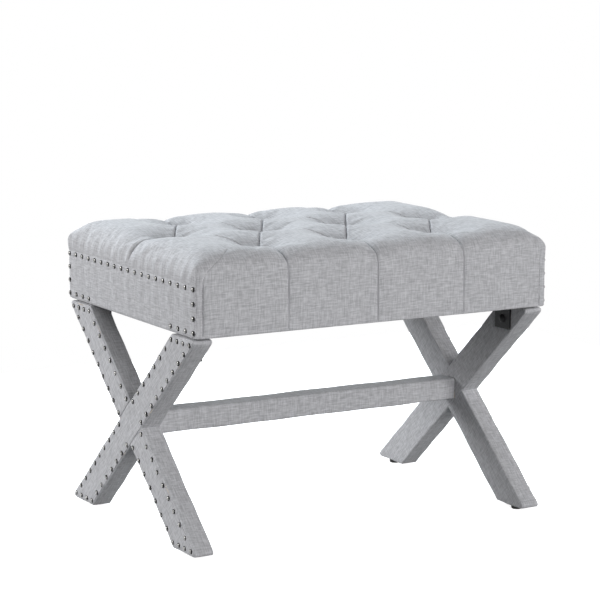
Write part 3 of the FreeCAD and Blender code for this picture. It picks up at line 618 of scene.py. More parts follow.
sewn = off_folds(points)
held = (sewn < SEWN_WIDTH) | (points[:, 2] < HELD_BOTTOM)
held |= (np.abs(points[:, 0]) > HELD_END) & (points[:, 2] < NAIL_ROW + NAIL_HOLD)
sewing = cover.vertex_groups.new(name="sewn")
sewing.add([int(number) for number in np.flatnonzero(held)], 1.0, "REPLACE")
before = read_points(cover)
swell = cover.modifiers.new("swell", "CLOTH")
settings = swell.settings
settings.quality = 6
settings.mass = 0.3
settings.tension_stiffness = 12
settings.compression_stiffness = 12
settings.shear_stiffness = 6
settings.bending_stiffness = 0.6
settings.vertex_group_mass = "sewn"
settings.pin_stiffness = 1
settings.use_pressure = True
settings.uniform_pressure_force = 4
settings.shrink_min = -0.03
settings.effector_weights.gravity = 0
swell.collision_settings.use_collision = False
for number in range(1, SWELL_FRAMES + 1):
    bpy.context.scene.frame_set(number)
apply_modifier(cover, swell)
bpy.context.scene.frame_set(1)
moved = read_points(cover) - before
inward = np.minimum((moved * normals).sum(axis=1), 0)
moved -= normals * inward[:, None]
far = np.linalg.norm(moved, axis=1)
cap = SIDE_CAP + (SWELL_CAP - SIDE_CAP) * eased(0.1, 0.8, normals[:, 2])
kept = cap * np.tanh(far / cap) / np.maximum(far, 1e-9)
write_points(cover, before + moved * kept[:, None])
print("cloth moved at most", round(float(far.max()) * 1000, 1), "mm")
cover.vertex_groups.clear()
print("cover top", round(float(read_points(cover)[:, 2].max()), 4))

# %% [markdown]
# ## Padding
# Under the cover lies the foam, cut and pulled into the same pads. It is a copy of the swollen cover, drawn
# in by a little more than the cloth's thickness, and further along the folds. It is cut off flat where it
# lies on the deck.

# %% Padding
DECK_TOP = 0.4283
PADDING_GAP = 0.004
FOLD_ROOM = 0.010
FOLD_ROOM_REACH = 0.014

pick(cover)
bpy.ops.object.duplicate()
padding = bpy.context.object
padding.name = "seat_padding"
drawn_in = PADDING_GAP + FOLD_ROOM * np.clip(1 - sewn / FOLD_ROOM_REACH, 0, 1)
write_points(padding, read_points(padding) - read_points(padding, "normal") * drawn_in[:, None])
edit(padding)
bpy.ops.mesh.select_all(action="SELECT")
bpy.ops.mesh.bisect(plane_co=(0, 0, DECK_TOP), plane_no=(0, 0, 1), use_fill=True, clear_inner=True)
done()
padding_bottom = round(float(read_points(padding)[:, 2].min()), 4)
print("padding:", len(padding.data.polygons), "faces, bottom at", padding_bottom)

# %% [markdown]
# ## Tufted cover: the folds
# Two pads meet in a narrow fold: each rolls over in a small quarter circle, and the cloth disappears between
# them. That needs smaller squares, so the mesh is subdivided once all over and once more along the folds.
# The nearest points are drawn onto the fold's line, so that it runs straight across the squares.
# On the long sides the fold becomes a sewn line. Another one near each corner holds the cloth of the end, and
# it bends inwards at the top.

# %% Finer squares along the folds
FINE_REACH = 0.010
CORNER_FOLD = 0.3025
CORNER_BEND = 0.055
CORNER_BEND_START = 0.425
CORNER_BEND_TOP = 0.467
LONG_SIDE = 0.19
subdivided(cover, 1)
middles = np.zeros(len(cover.data.polygons) * 3)
cover.data.polygons.foreach_get("center", middles)
middles = middles.reshape(-1, 3)


def off_corner_fold(points):
    """How far each point of a long side is off the sewn fold near its corner."""
    bend = np.clip((points[:, 2] - CORNER_BEND_START) / (CORNER_BEND_TOP - CORNER_BEND_START), 0, 1)
    off = np.abs(points[:, 0]) - (CORNER_FOLD - CORNER_BEND * bend ** 2)
    on_side = (np.abs(points[:, 1]) > LONG_SIDE) & (points[:, 2] < CORNER_BEND_TOP)
    return np.where(on_side, off, np.inf)


fine = (off_folds(middles) < FINE_REACH) | (np.abs(off_corner_fold(middles)) < FINE_REACH / 2)
edit(cover)
bpy.ops.mesh.select_mode(type="FACE")
shape = bmesh.from_edit_mesh(cover.data)
for face, chosen in zip(shape.faces, fine):
    face.select_set(bool(chosen))
bmesh.update_edit_mesh(cover.data)
bpy.ops.mesh.subdivide(number_cuts=1)
done()
print("cover:", len(cover.data.vertices), "points")

# %% Folds
FOLD_DEPTH = 0.0055
FOLD_REACH = 0.0032
TUFT_DEPTH = 0.0035
TUFT_REACH = 0.008
EDGE_DEPTH = 0.004
SIDE_DEPTH = 0.0025
SIDE_REACH = 0.0021
END_DEPTH = 0.003
LINE_SNAP = 0.0007
TOP_FADE = (0.425, 0.435)
OFF_TUFT = (0.006, 0.03)
TO_EDGE = (0.0, 0.03)
TO_SIDE = (0.065, 0.105)
TO_END = (0.0, 0.035)
PAST_TUFT = 0.05
UNDER_EDGE = 0.003
CORNER_CLEAR = 0.004
UPRIGHT_REACH = 0.006
NAIL_FADE = (NAIL_ROW + NAIL_HOLD, NAIL_ROW + 0.03)


def rolled(off, reach, depth):
    """Depth of the narrow valley between two rolled edges, at a distance off the fold."""
    q = np.clip(1 - np.abs(off) / reach, 0, 1)
    return depth * (1 - np.sqrt(1 - q ** 2))


def snapped(points, line, allowed):
    """Points very near a line on the plan, moved onto it."""
    along, off, aside, length = along_and_off(points, *line)
    heading = np.subtract(line[1], line[0]) / length
    near = (along > 0) & (along < length) & (off < LINE_SNAP) & allowed
    points[near] -= aside[near, None] * np.array([-heading[1], heading[0], 0])


def pressed(points):
    """Puts the points near the bottom edge onto its round, for which the first squares were too coarse."""
    points = points.copy()
    flat = np.array(block_high[:2]) - BOTTOM_ROUND
    out = np.abs(points[:, :2]) - flat
    down = block_low.z + BOTTOM_ROUND - points[:, 2]
    for axis in (0, 1):
        sides = np.sign(points[:, axis])
        along_edge = (out[:, axis] > 0) & (out[:, 1 - axis] < -CORNER_CLEAR)
        bent = along_edge & (down > 0)
        stretch = BOTTOM_ROUND / np.hypot(out[bent, axis], down[bent])
        points[bent, axis] = sides[bent] * (flat[axis] + out[bent, axis] * stretch)
        points[bent, 2] = block_low.z + BOTTOM_ROUND - down[bent] * stretch
        upright = along_edge & (down <= 0) & (down > -UPRIGHT_REACH)
        points[upright, axis] = sides[upright] * (flat[axis] + BOTTOM_ROUND)
    under = (out.max(axis=1) <= 0) & (down > 0)
    points[under, 2] = block_low.z
    return points


points = pressed(read_points(cover))
normals = read_points(cover, "normal")
on_top = eased(*TOP_FADE, points[:, 2])
not_under = points[:, 2] > cover_low.z + UNDER_EDGE
groove = np.zeros(len(points))
for tuft in tufts:
    groove = np.maximum(groove, rolled(off_button(points, tuft), TUFT_REACH, TUFT_DEPTH) * on_top)
for line in diagonals:
    snapped(points, line, on_top > 0.5)
    along, off, aside, length = along_and_off(points, *line)
    away = eased(*OFF_TUFT, np.minimum(along, length - along))
    depth = TUFT_DEPTH + (FOLD_DEPTH - TUFT_DEPTH) * away
    groove = np.maximum(groove, rolled(off, FOLD_REACH, depth) * on_top)
for line in over_sides:
    snapped(points, line, not_under)
    along, off, aside, length = along_and_off(points, *line)
    drop = np.clip(CROWN_START - points[:, 2], 0, None)
    travel = along + np.where(along > PAST_TUFT, drop, 0)
    to_edge, to_side = eased(*TO_EDGE, travel), eased(*TO_SIDE, travel)
    depth = TUFT_DEPTH + (EDGE_DEPTH - TUFT_DEPTH) * to_edge + (SIDE_DEPTH - EDGE_DEPTH) * to_side
    reach = FOLD_REACH + (SIDE_REACH - FOLD_REACH) * to_side
    groove = np.maximum(groove, rolled(off, reach, depth) * not_under)
for line in over_ends:
    along, off, aside, length = along_and_off(points, *line)
    depth = TUFT_DEPTH + (END_DEPTH - TUFT_DEPTH) * eased(*TO_END, along)
    fade = eased(*NAIL_FADE, points[:, 2])
    groove = np.maximum(groove, rolled(off, TUFT_REACH, depth) * fade)
corner_groove = rolled(off_corner_fold(points), SIDE_REACH, SIDE_DEPTH) * not_under
points -= normals * np.maximum(groove, corner_groove)[:, None]
print("folds:", len(diagonals) + len(over_sides) + len(over_ends) + 4)

# %% [markdown]
# ## Tufted cover: gathers at the ends
# Over each end the cloth is nailed in one row, and it puckers softly above the nails. The puckers start just
# outside the heads, stand highest a little way off the row and fade out within a few centimetres.

# %% Gathers
NAIL_PITCH = 0.0247
GATHER_HEIGHT = 0.0019
GATHER_FADE = 0.014
GATHER_START = 0.0045
TO_END_FACE = (0.296, 0.308)


def gathers(y, distance):
    """How far soft puckers stand out, by the place along the row and the distance from it."""
    ripple = np.sin(2 * np.pi * y / NAIL_PITCH) + 0.6 * np.sin(2 * np.pi * y / (1.9 * NAIL_PITCH) + 1.3)
    reach = np.clip(distance - GATHER_START, 0, None) / GATHER_FADE
    swell = reach * np.exp(1 - reach)
    return GATHER_HEIGHT * 0.5 * (1 + 0.6 * ripple) * swell


on_end = eased(*TO_END_FACE, np.abs(points[:, 0])) * (points[:, 2] > NAIL_ROW)
lift = gathers(points[:, 1], np.abs(points[:, 2] - NAIL_ROW)) * on_end
points += normals * lift[:, None]
write_points(cover, points)
print("gathers up to", round(float(lift.max()) * 1000, 2), "mm")

# %% [markdown]
# ## Tufted cover: hem, thickness and weave map
# The cover ends in a hem under the seat, so the middle of the bottom is cut away and the cloth gets its
# thickness inwards. Its threads run straight over the top and straight down each side, so the weave map
# adds the height that a point has dropped to its place on the plan.

# %% Hem and weave map
HEM_WIDTH = 0.027
CLOTH_THICKNESS = 0.0012
BOTTOM_BAND = 0.002
END_TURN = (0.25, 0.28)
SIDE_TURN = (0.16, 0.20)


def cover_threads(points, normals):
    """Places along and across the threads of the cover, laid flat."""
    drop = CROWN_START - points[:, 2]
    over_end = np.abs(normals[:, 0]) > np.abs(normals[:, 1])
    end_drop = np.where(over_end, eased(*END_TURN, np.abs(points[:, 0])), 0) * drop
    side_drop = np.where(over_end, 0, eased(*SIDE_TURN, np.abs(points[:, 1]))) * drop
    u = points[:, 0] + np.sign(points[:, 0]) * end_drop
    v = points[:, 1] + np.sign(points[:, 1]) * side_drop
    return np.stack([u, v], axis=1)


edit(cover)
choose_points(cover, lambda p: p.z < cover_low.z + BOTTOM_BAND
              and abs(p.x) < cover_high.x - HEM_WIDTH and abs(p.y) < cover_high.y - HEM_WIDTH)
bpy.ops.mesh.delete(type="VERT")
done()
thickened(cover, CLOTH_THICKNESS)
lay_weave(cover, cover_threads)
smoothly_shaded(cover, 60)
finish_piece(cover, linen)
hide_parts("seat_cover")
print("cover:", len(cover.data.polygons), "faces")

# %% [markdown]
# ## Buttons
# Each tuft is held by a button covered in the same linen. A ball is flattened into a dome with a flat back,
# then copied to the ten places with its own mesh and joined into one piece.

# %% Buttons
BUTTON_RADIUS = 0.008
BUTTON_HEIGHT = 0.006
BUTTON_SKIRT = 0.0015
TUFT_FLOOR = 0.443

bpy.ops.object.select_all(action="DESELECT")
bpy.ops.mesh.primitive_uv_sphere_add(segments=20, ring_count=12, radius=BUTTON_RADIUS)
button = bpy.context.object
points = read_points(button)
points[:, 2] = np.clip(points[:, 2], -BUTTON_SKIRT, None) + BUTTON_SKIRT
points[:, 2] *= BUTTON_HEIGHT / points[:, 2].max()
write_points(button, points)
buttons = copied_to(button, [(x, y, TUFT_FLOOR) for x, y in tufts], "covered_buttons")
bpy.data.objects.remove(button)
lay_weave(buttons, lambda points, normals: points[:, :2])
smoothly_shaded(buttons, 50)
finish_piece(buttons, linen)
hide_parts("tuft_buttons")
print("buttons:", len(tufts))

# %% [markdown]
# ## End panels
# A strip of linen closes each end under the nail row. It is cut with round bottom corners, nailed along its
# edges, and puckers a little at the nails. A grid pressed against the end of the seat gets the round corners,
# the puckers and a turned-in edge, and then its thickness inwards, so that the nail heads stand on it.

# %% End panels
PANEL_CORNER = 0.012
PANEL_EDGE = 0.0013
PANEL_THICKNESS = 0.001
LOW_NAIL_ROW = 0.349
LOW_ROW_SHIFT = 0.007
LOW_ROW_SHARE = 0.7
PANEL_SHARE = 0.8
EDGE_TURN = (0, 0.002)
PUCKER_EDGE = (0, 0.004)
PUCKER_SIDE = (0.004, 0.014)
ENDS = ((-1, "left"), (1, "right"))


def end_panel(side, name):
    """The nailed strip of one end; side is -1 for the left and 1 for the right."""
    low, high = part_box(name + "_end_panel")
    face = max(abs(low.x), abs(high.x))
    middle_y, middle_z = (low.y + high.y) / 2, (low.z + high.z) / 2
    bpy.ops.object.select_all(action="DESELECT")
    bpy.ops.mesh.primitive_grid_add(x_subdivisions=180, y_subdivisions=32, size=1)
    panel = bpy.context.object
    panel.name = name + "_end_strip"
    places = read_points(panel)
    y = places[:, 0] * (high.y - low.y) + middle_y
    z = places[:, 1] * (high.z - low.z) + middle_z
    half_width = (high.y - low.y) / 2 - PANEL_CORNER
    out = np.clip(np.abs(y) - half_width, 0, None) / PANEL_CORNER
    down = np.clip(low.z + PANEL_CORNER - z, 0, None) / PANEL_CORNER
    kept = 1 / np.maximum(np.hypot(out, down), 1)
    y = np.sign(y) * (np.minimum(np.abs(y), half_width) + out * kept * PANEL_CORNER)
    z = np.maximum(z, low.z + PANEL_CORNER) - down * kept * PANEL_CORNER
    edge = np.minimum(np.minimum(high.y - np.abs(y), high.z - z), z - low.z)
    puckers = gathers(y, np.abs(z - NAIL_ROW))
    puckers += LOW_ROW_SHARE * gathers(y + LOW_ROW_SHIFT, np.abs(z - LOW_NAIL_ROW))
    puckers *= eased(*PUCKER_EDGE, edge) * eased(*PUCKER_SIDE, high.y - np.abs(y))
    x = face + PANEL_SHARE * puckers - PANEL_EDGE * (1 - eased(*EDGE_TURN, edge))
    write_points(panel, np.stack([side * x, y, z], axis=1))
    if side < 0:
        turned_over(panel)
    thickened(panel, PANEL_THICKNESS)
    lay_weave(panel, lambda points, normals: points[:, 1:])
    smoothly_shaded(panel, 60)
    finish_piece(panel, linen)
    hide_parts(name + "_end_panel")
    return panel


for side, end in ENDS:
    panel = end_panel(side, end)
    print(panel.name, len(panel.data.polygons), "faces")

# %% [markdown]
# ## Leg sleeves
# Each end frame is an X of two flat bars in linen. One bar runs through, and the other is made of two halves
# that meet it at the crossing and are tucked in there a little. The sleeve of a bar is drawn as a flat
# outline, extruded to its thickness and bevelled. The sharp corners at foot and top are rounded wide, because
# cloth won't fold to a point. The outer face carries a separate strip with turned-in edges, which three
# insets make: a fine groove all round, a step out of it, and a slight crown.

# %% Sleeves
INNER_FACE = 0.282
OUTER_FACE = 0.3142
STRIP_FACE = 0.315
LEG_BOTTOM = 0.006
LEG_TOP = 0.3372
FOOT_NEAR = 0.148
FOOT_FAR = 0.230
FORK_LEVEL = 0.1369
TUCK_Y = 0.0014
TUCK_Z = 0.0012
SHARP_ROUND = 0.016
EDGE_SOFTNESS = 0.0022
STRIP_INSETS = ((0.0004, -0.0005), (0.0003, 0.0011), (0.0006, 0.0002))
SLICE_ALONG = 0.012
SLICE_ACROSS = 0.009
BAR_WAVE = 0.0003
THROUGH_FLAT = (0.19, 0.53)
HALF_FLAT = (0.19, 0.25)
leg_run, leg_rise = FOOT_NEAR + FOOT_FAR, LEG_TOP - LEG_BOTTOM
crossing = (LEG_BOTTOM + LEG_TOP) / 2
notch = (FOOT_FAR - FOOT_NEAR) / 2
through_bar = [(FOOT_NEAR, LEG_BOTTOM), (FOOT_FAR, LEG_BOTTOM), (-FOOT_NEAR, LEG_TOP), (-FOOT_FAR, LEG_TOP)]
lower_half = [(-FOOT_FAR, LEG_BOTTOM), (-FOOT_NEAR, LEG_BOTTOM),
              (TUCK_Y, FORK_LEVEL), (TUCK_Y - notch, crossing + TUCK_Z)]
upper_half = [(-y, 2 * crossing - z) for y, z in lower_half]
through_heading = np.array((-leg_run, leg_rise)) / np.hypot(leg_run, leg_rise)
crossing_heading = through_heading * (-1, 1)


def bar_places(points, heading):
    """Places along and across a bar, for points in the plane of the end frame."""
    along = points[:, 1] * heading[0] + points[:, 2] * heading[1]
    across = points[:, 2] * heading[0] - points[:, 1] * heading[1]
    return along, across


def sleeve(name, side, outline, sharp, heading):
    """One closed linen sleeve round a bar."""
    bpy.ops.object.select_all(action="DESELECT")
    bpy.ops.mesh.primitive_plane_add(size=1)
    piece = bpy.context.object
    piece.name = name
    first, second, third, fourth = outline
    write_points(piece, [(side * INNER_FACE, *place) for place in (first, second, fourth, third)])
    edit(piece)
    bpy.ops.mesh.select_all(action="SELECT")
    thickness = side * (OUTER_FACE - INNER_FACE)
    bpy.ops.mesh.extrude_region_move(TRANSFORM_OT_translate={"value": (thickness, 0, 0)})
    bpy.ops.mesh.select_all(action="SELECT")
    bpy.ops.mesh.normals_make_consistent(inside=False)

    def is_sharp(p):
        return any(math.hypot(p.y - y, p.z - z) < 0.002 for y, z in sharp)

    choose_edges(piece, lambda a, b: is_sharp(a) and is_sharp(b) and abs(a.x - b.x) > 0.02)
    bpy.ops.mesh.bevel(offset=SHARP_ROUND, segments=7, affect="EDGES")
    choose_edges(piece, lambda a, b: abs(a.x - b.x) < 0.001)
    bpy.ops.mesh.bevel(offset=EDGE_SOFTNESS, segments=3, affect="EDGES")
    choose_faces(piece, lambda middle, normal: abs(middle.x) > OUTER_FACE - 0.0001
                 and normal.x * side > 0.999)
    for width, depth in STRIP_INSETS:
        bpy.ops.mesh.inset(thickness=width, depth=depth)
    done()
    along, across = bar_places(read_points(piece), heading)
    steps = np.arange(along.min() + 0.004, along.max(), SLICE_ALONG)
    sliced(piece, (0, heading[0], heading[1]), steps)
    steps = np.arange(across.min() + 0.005, across.max(), SLICE_ACROSS)
    sliced(piece, (0, -heading[1], heading[0]), steps)
    points = read_points(piece)
    along, across = bar_places(points, heading)
    wave = np.sin(along * 97 + across * 60 + side) + np.sin(along * 41 - across * 110 + 2 * side)
    write_points(piece, points + read_points(piece, "normal") * (BAR_WAVE * wave)[:, None])
    return piece


def dress_sleeve(piece, heading, replaced):
    """Thickness, weave map, shading and finish of one sleeve; the CAD part it replaces is hidden."""
    thickened(piece, CLOTH_THICKNESS)

    def bar_threads(points, normals):
        along, across = bar_places(points, heading)
        on_rim = np.abs(normals[:, 0]) < 0.6
        return np.stack([along, np.where(on_rim, 0.1 + np.abs(points[:, 0]), across)], axis=1)

    lay_weave(piece, bar_threads)
    smoothly_shaded(piece, 40)
    finish_piece(piece, linen)
    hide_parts(replaced)


through_corners = (through_bar[1], through_bar[3])
bars = (
    ("_through_sleeve", through_bar, through_corners, through_heading, "_back_leg_cover", THROUGH_FLAT),
    ("_lower_sleeve", lower_half, lower_half[:1], crossing_heading, "_front_leg_lower_cover", HALF_FLAT),
    ("_upper_sleeve", upper_half, upper_half[:1], crossing_heading, "_front_leg_upper_cover", HALF_FLAT),
)
for side, end in ENDS:
    for name, outline, sharp, heading, replaced, flat in bars:
        piece = sleeve(end + name, side, outline, sharp, heading)
        dress_sleeve(piece, heading, end + replaced)
        print(piece.name, len(piece.data.polygons), "faces")

# %% [markdown]
# ## Stretcher sleeve
# The bar between the crossings wears a sleeve too. A block with soft long edges is cut into short lengths,
# so that its faces can wave a little. Each end reaches a little past the CAD's sleeve, where the cloth is
# folded.

# %% Stretcher sleeve
STRETCHER_SOFTNESS = 0.0035
STRETCHER_END_SOFTNESS = 0.0010
STRETCHER_SLICES = (((1, 0, 0), np.arange(-0.272, 0.275, 0.016)),
                    ((0, 1, 0), (-0.008, 0.0, 0.008)),
                    ((0, 0, 1), (0.163, crossing, 0.180)))
bar_low, bar_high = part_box("stretcher_cover")
end_fold = Vector((0.0012, 0, 0))
stretcher_sleeve = new_block("stretcher_sleeve", bar_low - end_fold, bar_high + end_fold)
edit(stretcher_sleeve)
choose_edges(stretcher_sleeve, lambda a, b: abs(a.x - b.x) > 0.1)
bpy.ops.mesh.bevel(offset=STRETCHER_SOFTNESS, segments=4, affect="EDGES")
choose_edges(stretcher_sleeve, lambda a, b: abs(a.x - b.x) < 0.001)
bpy.ops.mesh.bevel(offset=STRETCHER_END_SOFTNESS, segments=2, affect="EDGES")
done()
for heading, places in STRETCHER_SLICES:
    sliced(stretcher_sleeve, heading, places)
points = read_points(stretcher_sleeve)
normals = read_points(stretcher_sleeve, "normal")
wave = np.sin(points[:, 0] * 57 + points[:, 1] * 90) + np.sin(points[:, 0] * 23 + points[:, 2] * 70)
write_points(stretcher_sleeve, points + normals * (BAR_WAVE * wave)[:, None])
thickened(stretcher_sleeve, CLOTH_THICKNESS)


def stretcher_threads(points, normals):
    """Places along and across the threads of the stretcher's sleeve."""
    on_front = np.abs(normals[:, 1]) > np.abs(normals[:, 2])
    return np.stack([points[:, 0], np.where(on_front, points[:, 2], points[:, 1] + 0.2)], axis=1)


lay_weave(stretcher_sleeve, stretcher_threads)
smoothly_shaded(stretcher_sleeve, 40)
finish_piece(stretcher_sleeve, linen)
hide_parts("stretcher_cover")
print(stretcher_sleeve.name, len(stretcher_sleeve.data.polygons), "faces")

# %% [markdown]
# ## Dust cover
# A thin black cloth closes the underside. It hangs slack between the rails by a few millimetres, and its edge
# is turned under into a flat hem. The sheet is a grid that sags in the middle, and the hem is a ring of
# the same cloth, inset from a plane and thickened.

# %% Dust cover
SAG = 0.004
SLACK_ALONG = (0.0, 0.215)
SLACK_ACROSS = (0.02, 0.19)
DUST_RIPPLE = 0.0004
DUST_SHEET_LEVEL = 0.3398
DUST_THICKNESS = 0.0007
HEM_FOLD = 0.010
HEM_LEVEL = 0.3381
HEM_THICKNESS = 0.0009
HEM_SOFTNESS = 0.0003
dust_low, dust_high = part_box("dust_cover")

bpy.ops.object.select_all(action="DESELECT")
bpy.ops.mesh.primitive_grid_add(x_subdivisions=80, y_subdivisions=60, size=1)
dust_sheet = bpy.context.object
dust_sheet.name = "dust_sheet"
places = read_points(dust_sheet)
x = places[:, 0] * (dust_high.x - dust_low.x)
y = places[:, 1] * (dust_high.y - dust_low.y)
slack = (1 - eased(*SLACK_ALONG, np.abs(x))) * (1 - eased(*SLACK_ACROSS, np.abs(y)))
ripple = DUST_RIPPLE * np.sin(x * 61 + y * 33) * slack
write_points(dust_sheet, np.stack([x, y, DUST_SHEET_LEVEL - SAG * slack + ripple], axis=1))
turned_over(dust_sheet)
thickened(dust_sheet, DUST_THICKNESS)

bpy.ops.object.select_all(action="DESELECT")
bpy.ops.mesh.primitive_plane_add(size=1)
dust_hem = bpy.context.object
corners = read_points(dust_hem) * 2
hem_size = np.array((dust_high.x, dust_high.y, 0))
write_points(dust_hem, corners * hem_size + np.array((0, 0, HEM_LEVEL)))
turned_over(dust_hem)
edit(dust_hem)
bpy.ops.mesh.select_all(action="SELECT")
bpy.ops.mesh.inset(thickness=HEM_FOLD, depth=0)
bpy.ops.mesh.delete(type="FACE")
done()
thickened(dust_hem, HEM_THICKNESS)
edit(dust_hem)
choose_edges(dust_hem, lambda a, b: max(a.z, b.z) < HEM_LEVEL + 0.0001)
bpy.ops.mesh.bevel(offset=HEM_SOFTNESS, segments=2, affect="EDGES")
done()
dust_sheet = joined([dust_sheet, dust_hem], "dust_sheet")
smoothly_shaded(dust_sheet, 40)
print(dust_sheet.name, "from", round(float(read_points(dust_sheet)[:, 2].min()), 4))

# %% [markdown]
# ## Staples
# Staples hold the hem to the rails. One is a short wire whose two ends are extruded upwards, and the copies
# stand in a row along the middle of the hem, turned by a quarter along the ends.

# %% Staples
STAPLE_CROWN = 0.012
STAPLE_WIRE = 0.0008
STAPLE_LEG = 0.0095
RAIL_PITCH = 0.05
END_PITCH = 0.04
QUARTER_TURN = np.array(((0, 1, 0), (-1, 0, 0), (0, 0, 1)))

staple_size = Vector((STAPLE_CROWN, STAPLE_WIRE, STAPLE_WIRE)) / 2
staple = new_block("staple", -staple_size, staple_size)
sliced(staple, (1, 0, 0), (-STAPLE_CROWN / 2 + STAPLE_WIRE, STAPLE_CROWN / 2 - STAPLE_WIRE))
edit(staple)
choose_faces(staple, lambda middle, normal: normal.z > 0.9
             and abs(middle.x) > STAPLE_CROWN / 2 - STAPLE_WIRE)
bpy.ops.mesh.extrude_region_move(TRANSFORM_OT_translate={"value": (0, 0, STAPLE_LEG)})
done()
turned_staple = own_copy(staple)
write_points(turned_staple, read_points(staple) @ QUARTER_TURN)
hem_y, hem_x = dust_high.y - HEM_FOLD / 2, dust_high.x - HEM_FOLD / 2
staple_z = HEM_LEVEL - STAPLE_WIRE / 2
along_rails = [(step * RAIL_PITCH, side * hem_y, staple_z) for side in (-1, 1) for step in range(-5, 6)]
along_ends = [(side * hem_x, step * END_PITCH, staple_z) for side in (-1, 1) for step in range(-3, 4)]
rail_staples = copied_to(staple, along_rails, "rail_staples")
end_staples = copied_to(turned_staple, along_ends, "end_staples")
staples = joined([rail_staples, end_staples], "hem_staples")
for pattern in (staple, turned_staple):
    bpy.data.objects.remove(pattern)
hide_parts("dust_cover_staples")
print(staples.name, len(along_rails) + len(along_ends), "staples")

# %% [markdown]
# ## Nail heads
# Domed nails hold the end panels and trim the outer strips. One nail is made from a ball: its lower half is
# cut away, the cut is closed with a face, and the shank is inset and extruded from that. Then the dome is
# pressed to its height. Because there are over two hundred, it has few faces. The copies go where the CAD
# nails have the tops of their heads.

# %% Nail heads
NAIL_RADIUS = 0.0042
NAIL_HEIGHT = 0.0024
SHANK_LENGTH = 0.010
SHANK_RADIUS = 0.0006

bpy.ops.object.select_all(action="DESELECT")
bpy.ops.mesh.primitive_uv_sphere_add(segments=14, ring_count=8, radius=NAIL_RADIUS)
nail = bpy.context.object
edit(nail)
choose_points(nail, lambda p: p.z < -0.0001)
bpy.ops.mesh.delete(type="VERT")
choose_points(nail, lambda p: p.z < 0.0001)
bpy.ops.mesh.edge_face_add()
bpy.ops.mesh.inset(thickness=NAIL_RADIUS - SHANK_RADIUS, depth=0)
bpy.ops.mesh.extrude_region_move(TRANSFORM_OT_translate={"value": (0, 0, -SHANK_LENGTH)})
done()
faced_outwards(nail)
points = read_points(nail)
points[:, 2] = np.where(points[:, 2] > 0, points[:, 2] * NAIL_HEIGHT / NAIL_RADIUS, points[:, 2])
write_points(nail, points)
print("nail:", len(nail.data.polygons), "faces")


def nails_of(node, name):
    """Copies of the nail on every head of a CAD node, pointing into the end frame."""
    low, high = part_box(node)
    side = -1 if high.x < 0 else 1
    crest = max(abs(low.x), abs(high.x))
    tops = [vertex.co for vertex in nodes[node].data.vertices if abs(vertex.co.x) > crest - 0.00002]
    places = sorted({(round(top.y, 4), round(top.z, 4)) for top in tops})
    pattern = own_copy(nail)
    upright = read_points(nail)
    write_points(pattern, np.stack([side * upright[:, 2], side * upright[:, 1], upright[:, 0]], axis=1))
    base = side * (crest - NAIL_HEIGHT)
    piece = copied_to(pattern, [(base, y, z) for y, z in places], name)
    bpy.data.objects.remove(pattern)
    return piece, len(places)


nail_pieces = []
for node in ("left_seat_nails", "right_seat_nails", "left_leg_nails", "right_leg_nails"):
    piece, count = nails_of(node, node.replace("nails", "nail_heads"))
    faced_outwards(piece)
    smoothly_shaded(piece, 50)
    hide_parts(node)
    nail_pieces.append(piece)
    print(piece.name, count, "nails")
bpy.data.objects.remove(nail)

# %% [markdown]
# ## Other finishes
# The nails are dark nickel with painted shade and a painted highlight: their tone is darker towards the rim, by
# height on the dome, and paler on the crown, where the lamps' reflection shows. A fine noise varies the tone
# and the roughness. The rest is wood, foam, metal, plastic and thread. Most of it hides inside, but the
# finishes still
# follow the real ones: each is a noise stretched along the grain or left even, which colours the surface
# between two tones and roughens it a little. What is one value all over, such as how metallic it is, is set on
# the shader's own socket.


# %% Finishes
def grained(name, dark, pale, scale, roughness, metallic=0.0, bump=0.1, shine=0.5):
    """A finish from one noise in the object's own space; scale is cycles per metre along x, y and z."""
    material, nodes, links, shader = new_material(name)
    place = nodes.new("ShaderNodeTexCoord")
    stretch = nodes.new("ShaderNodeMapping")
    stretch.inputs["Scale"].default_value = scale
    noise = nodes.new("ShaderNodeTexNoise")
    noise.inputs["Scale"].default_value = 1.0
    noise.inputs["Detail"].default_value = 4
    noise.inputs["Distortion"].default_value = 0.4
    links.new(place.outputs["Object"], stretch.inputs["Vector"])
    links.new(stretch.outputs["Vector"], noise.inputs["Vector"])
    ramp = nodes.new("ShaderNodeValToRGB")
    ramp.color_ramp.elements[0].position = 0.3
    ramp.color_ramp.elements[0].color = (*dark, 1)
    ramp.color_ramp.elements[1].position = 0.7
    ramp.color_ramp.elements[1].color = (*pale, 1)
    links.new(noise.outputs["Fac"], ramp.inputs["Fac"])
    links.new(ramp.outputs["Color"], shader.inputs["Base Color"])
    gloss = nodes.new("ShaderNodeMapRange")
    gloss.inputs["To Min"].default_value = roughness - 0.06
    gloss.inputs["To Max"].default_value = roughness + 0.06
    links.new(noise.outputs["Fac"], gloss.inputs["Value"])
    links.new(gloss.outputs["Result"], shader.inputs["Roughness"])
    relief = nodes.new("ShaderNodeBump")
    relief.inputs["Strength"].default_value = bump
    relief.inputs["Distance"].default_value = 0.0005
    links.new(noise.outputs["Fac"], relief.inputs["Height"])
    links.new(relief.outputs["Normal"], shader.inputs["Normal"])
    shader.inputs["Metallic"].default_value = metallic
    shader.inputs["Specular IOR Level"].default_value = shine
    return material
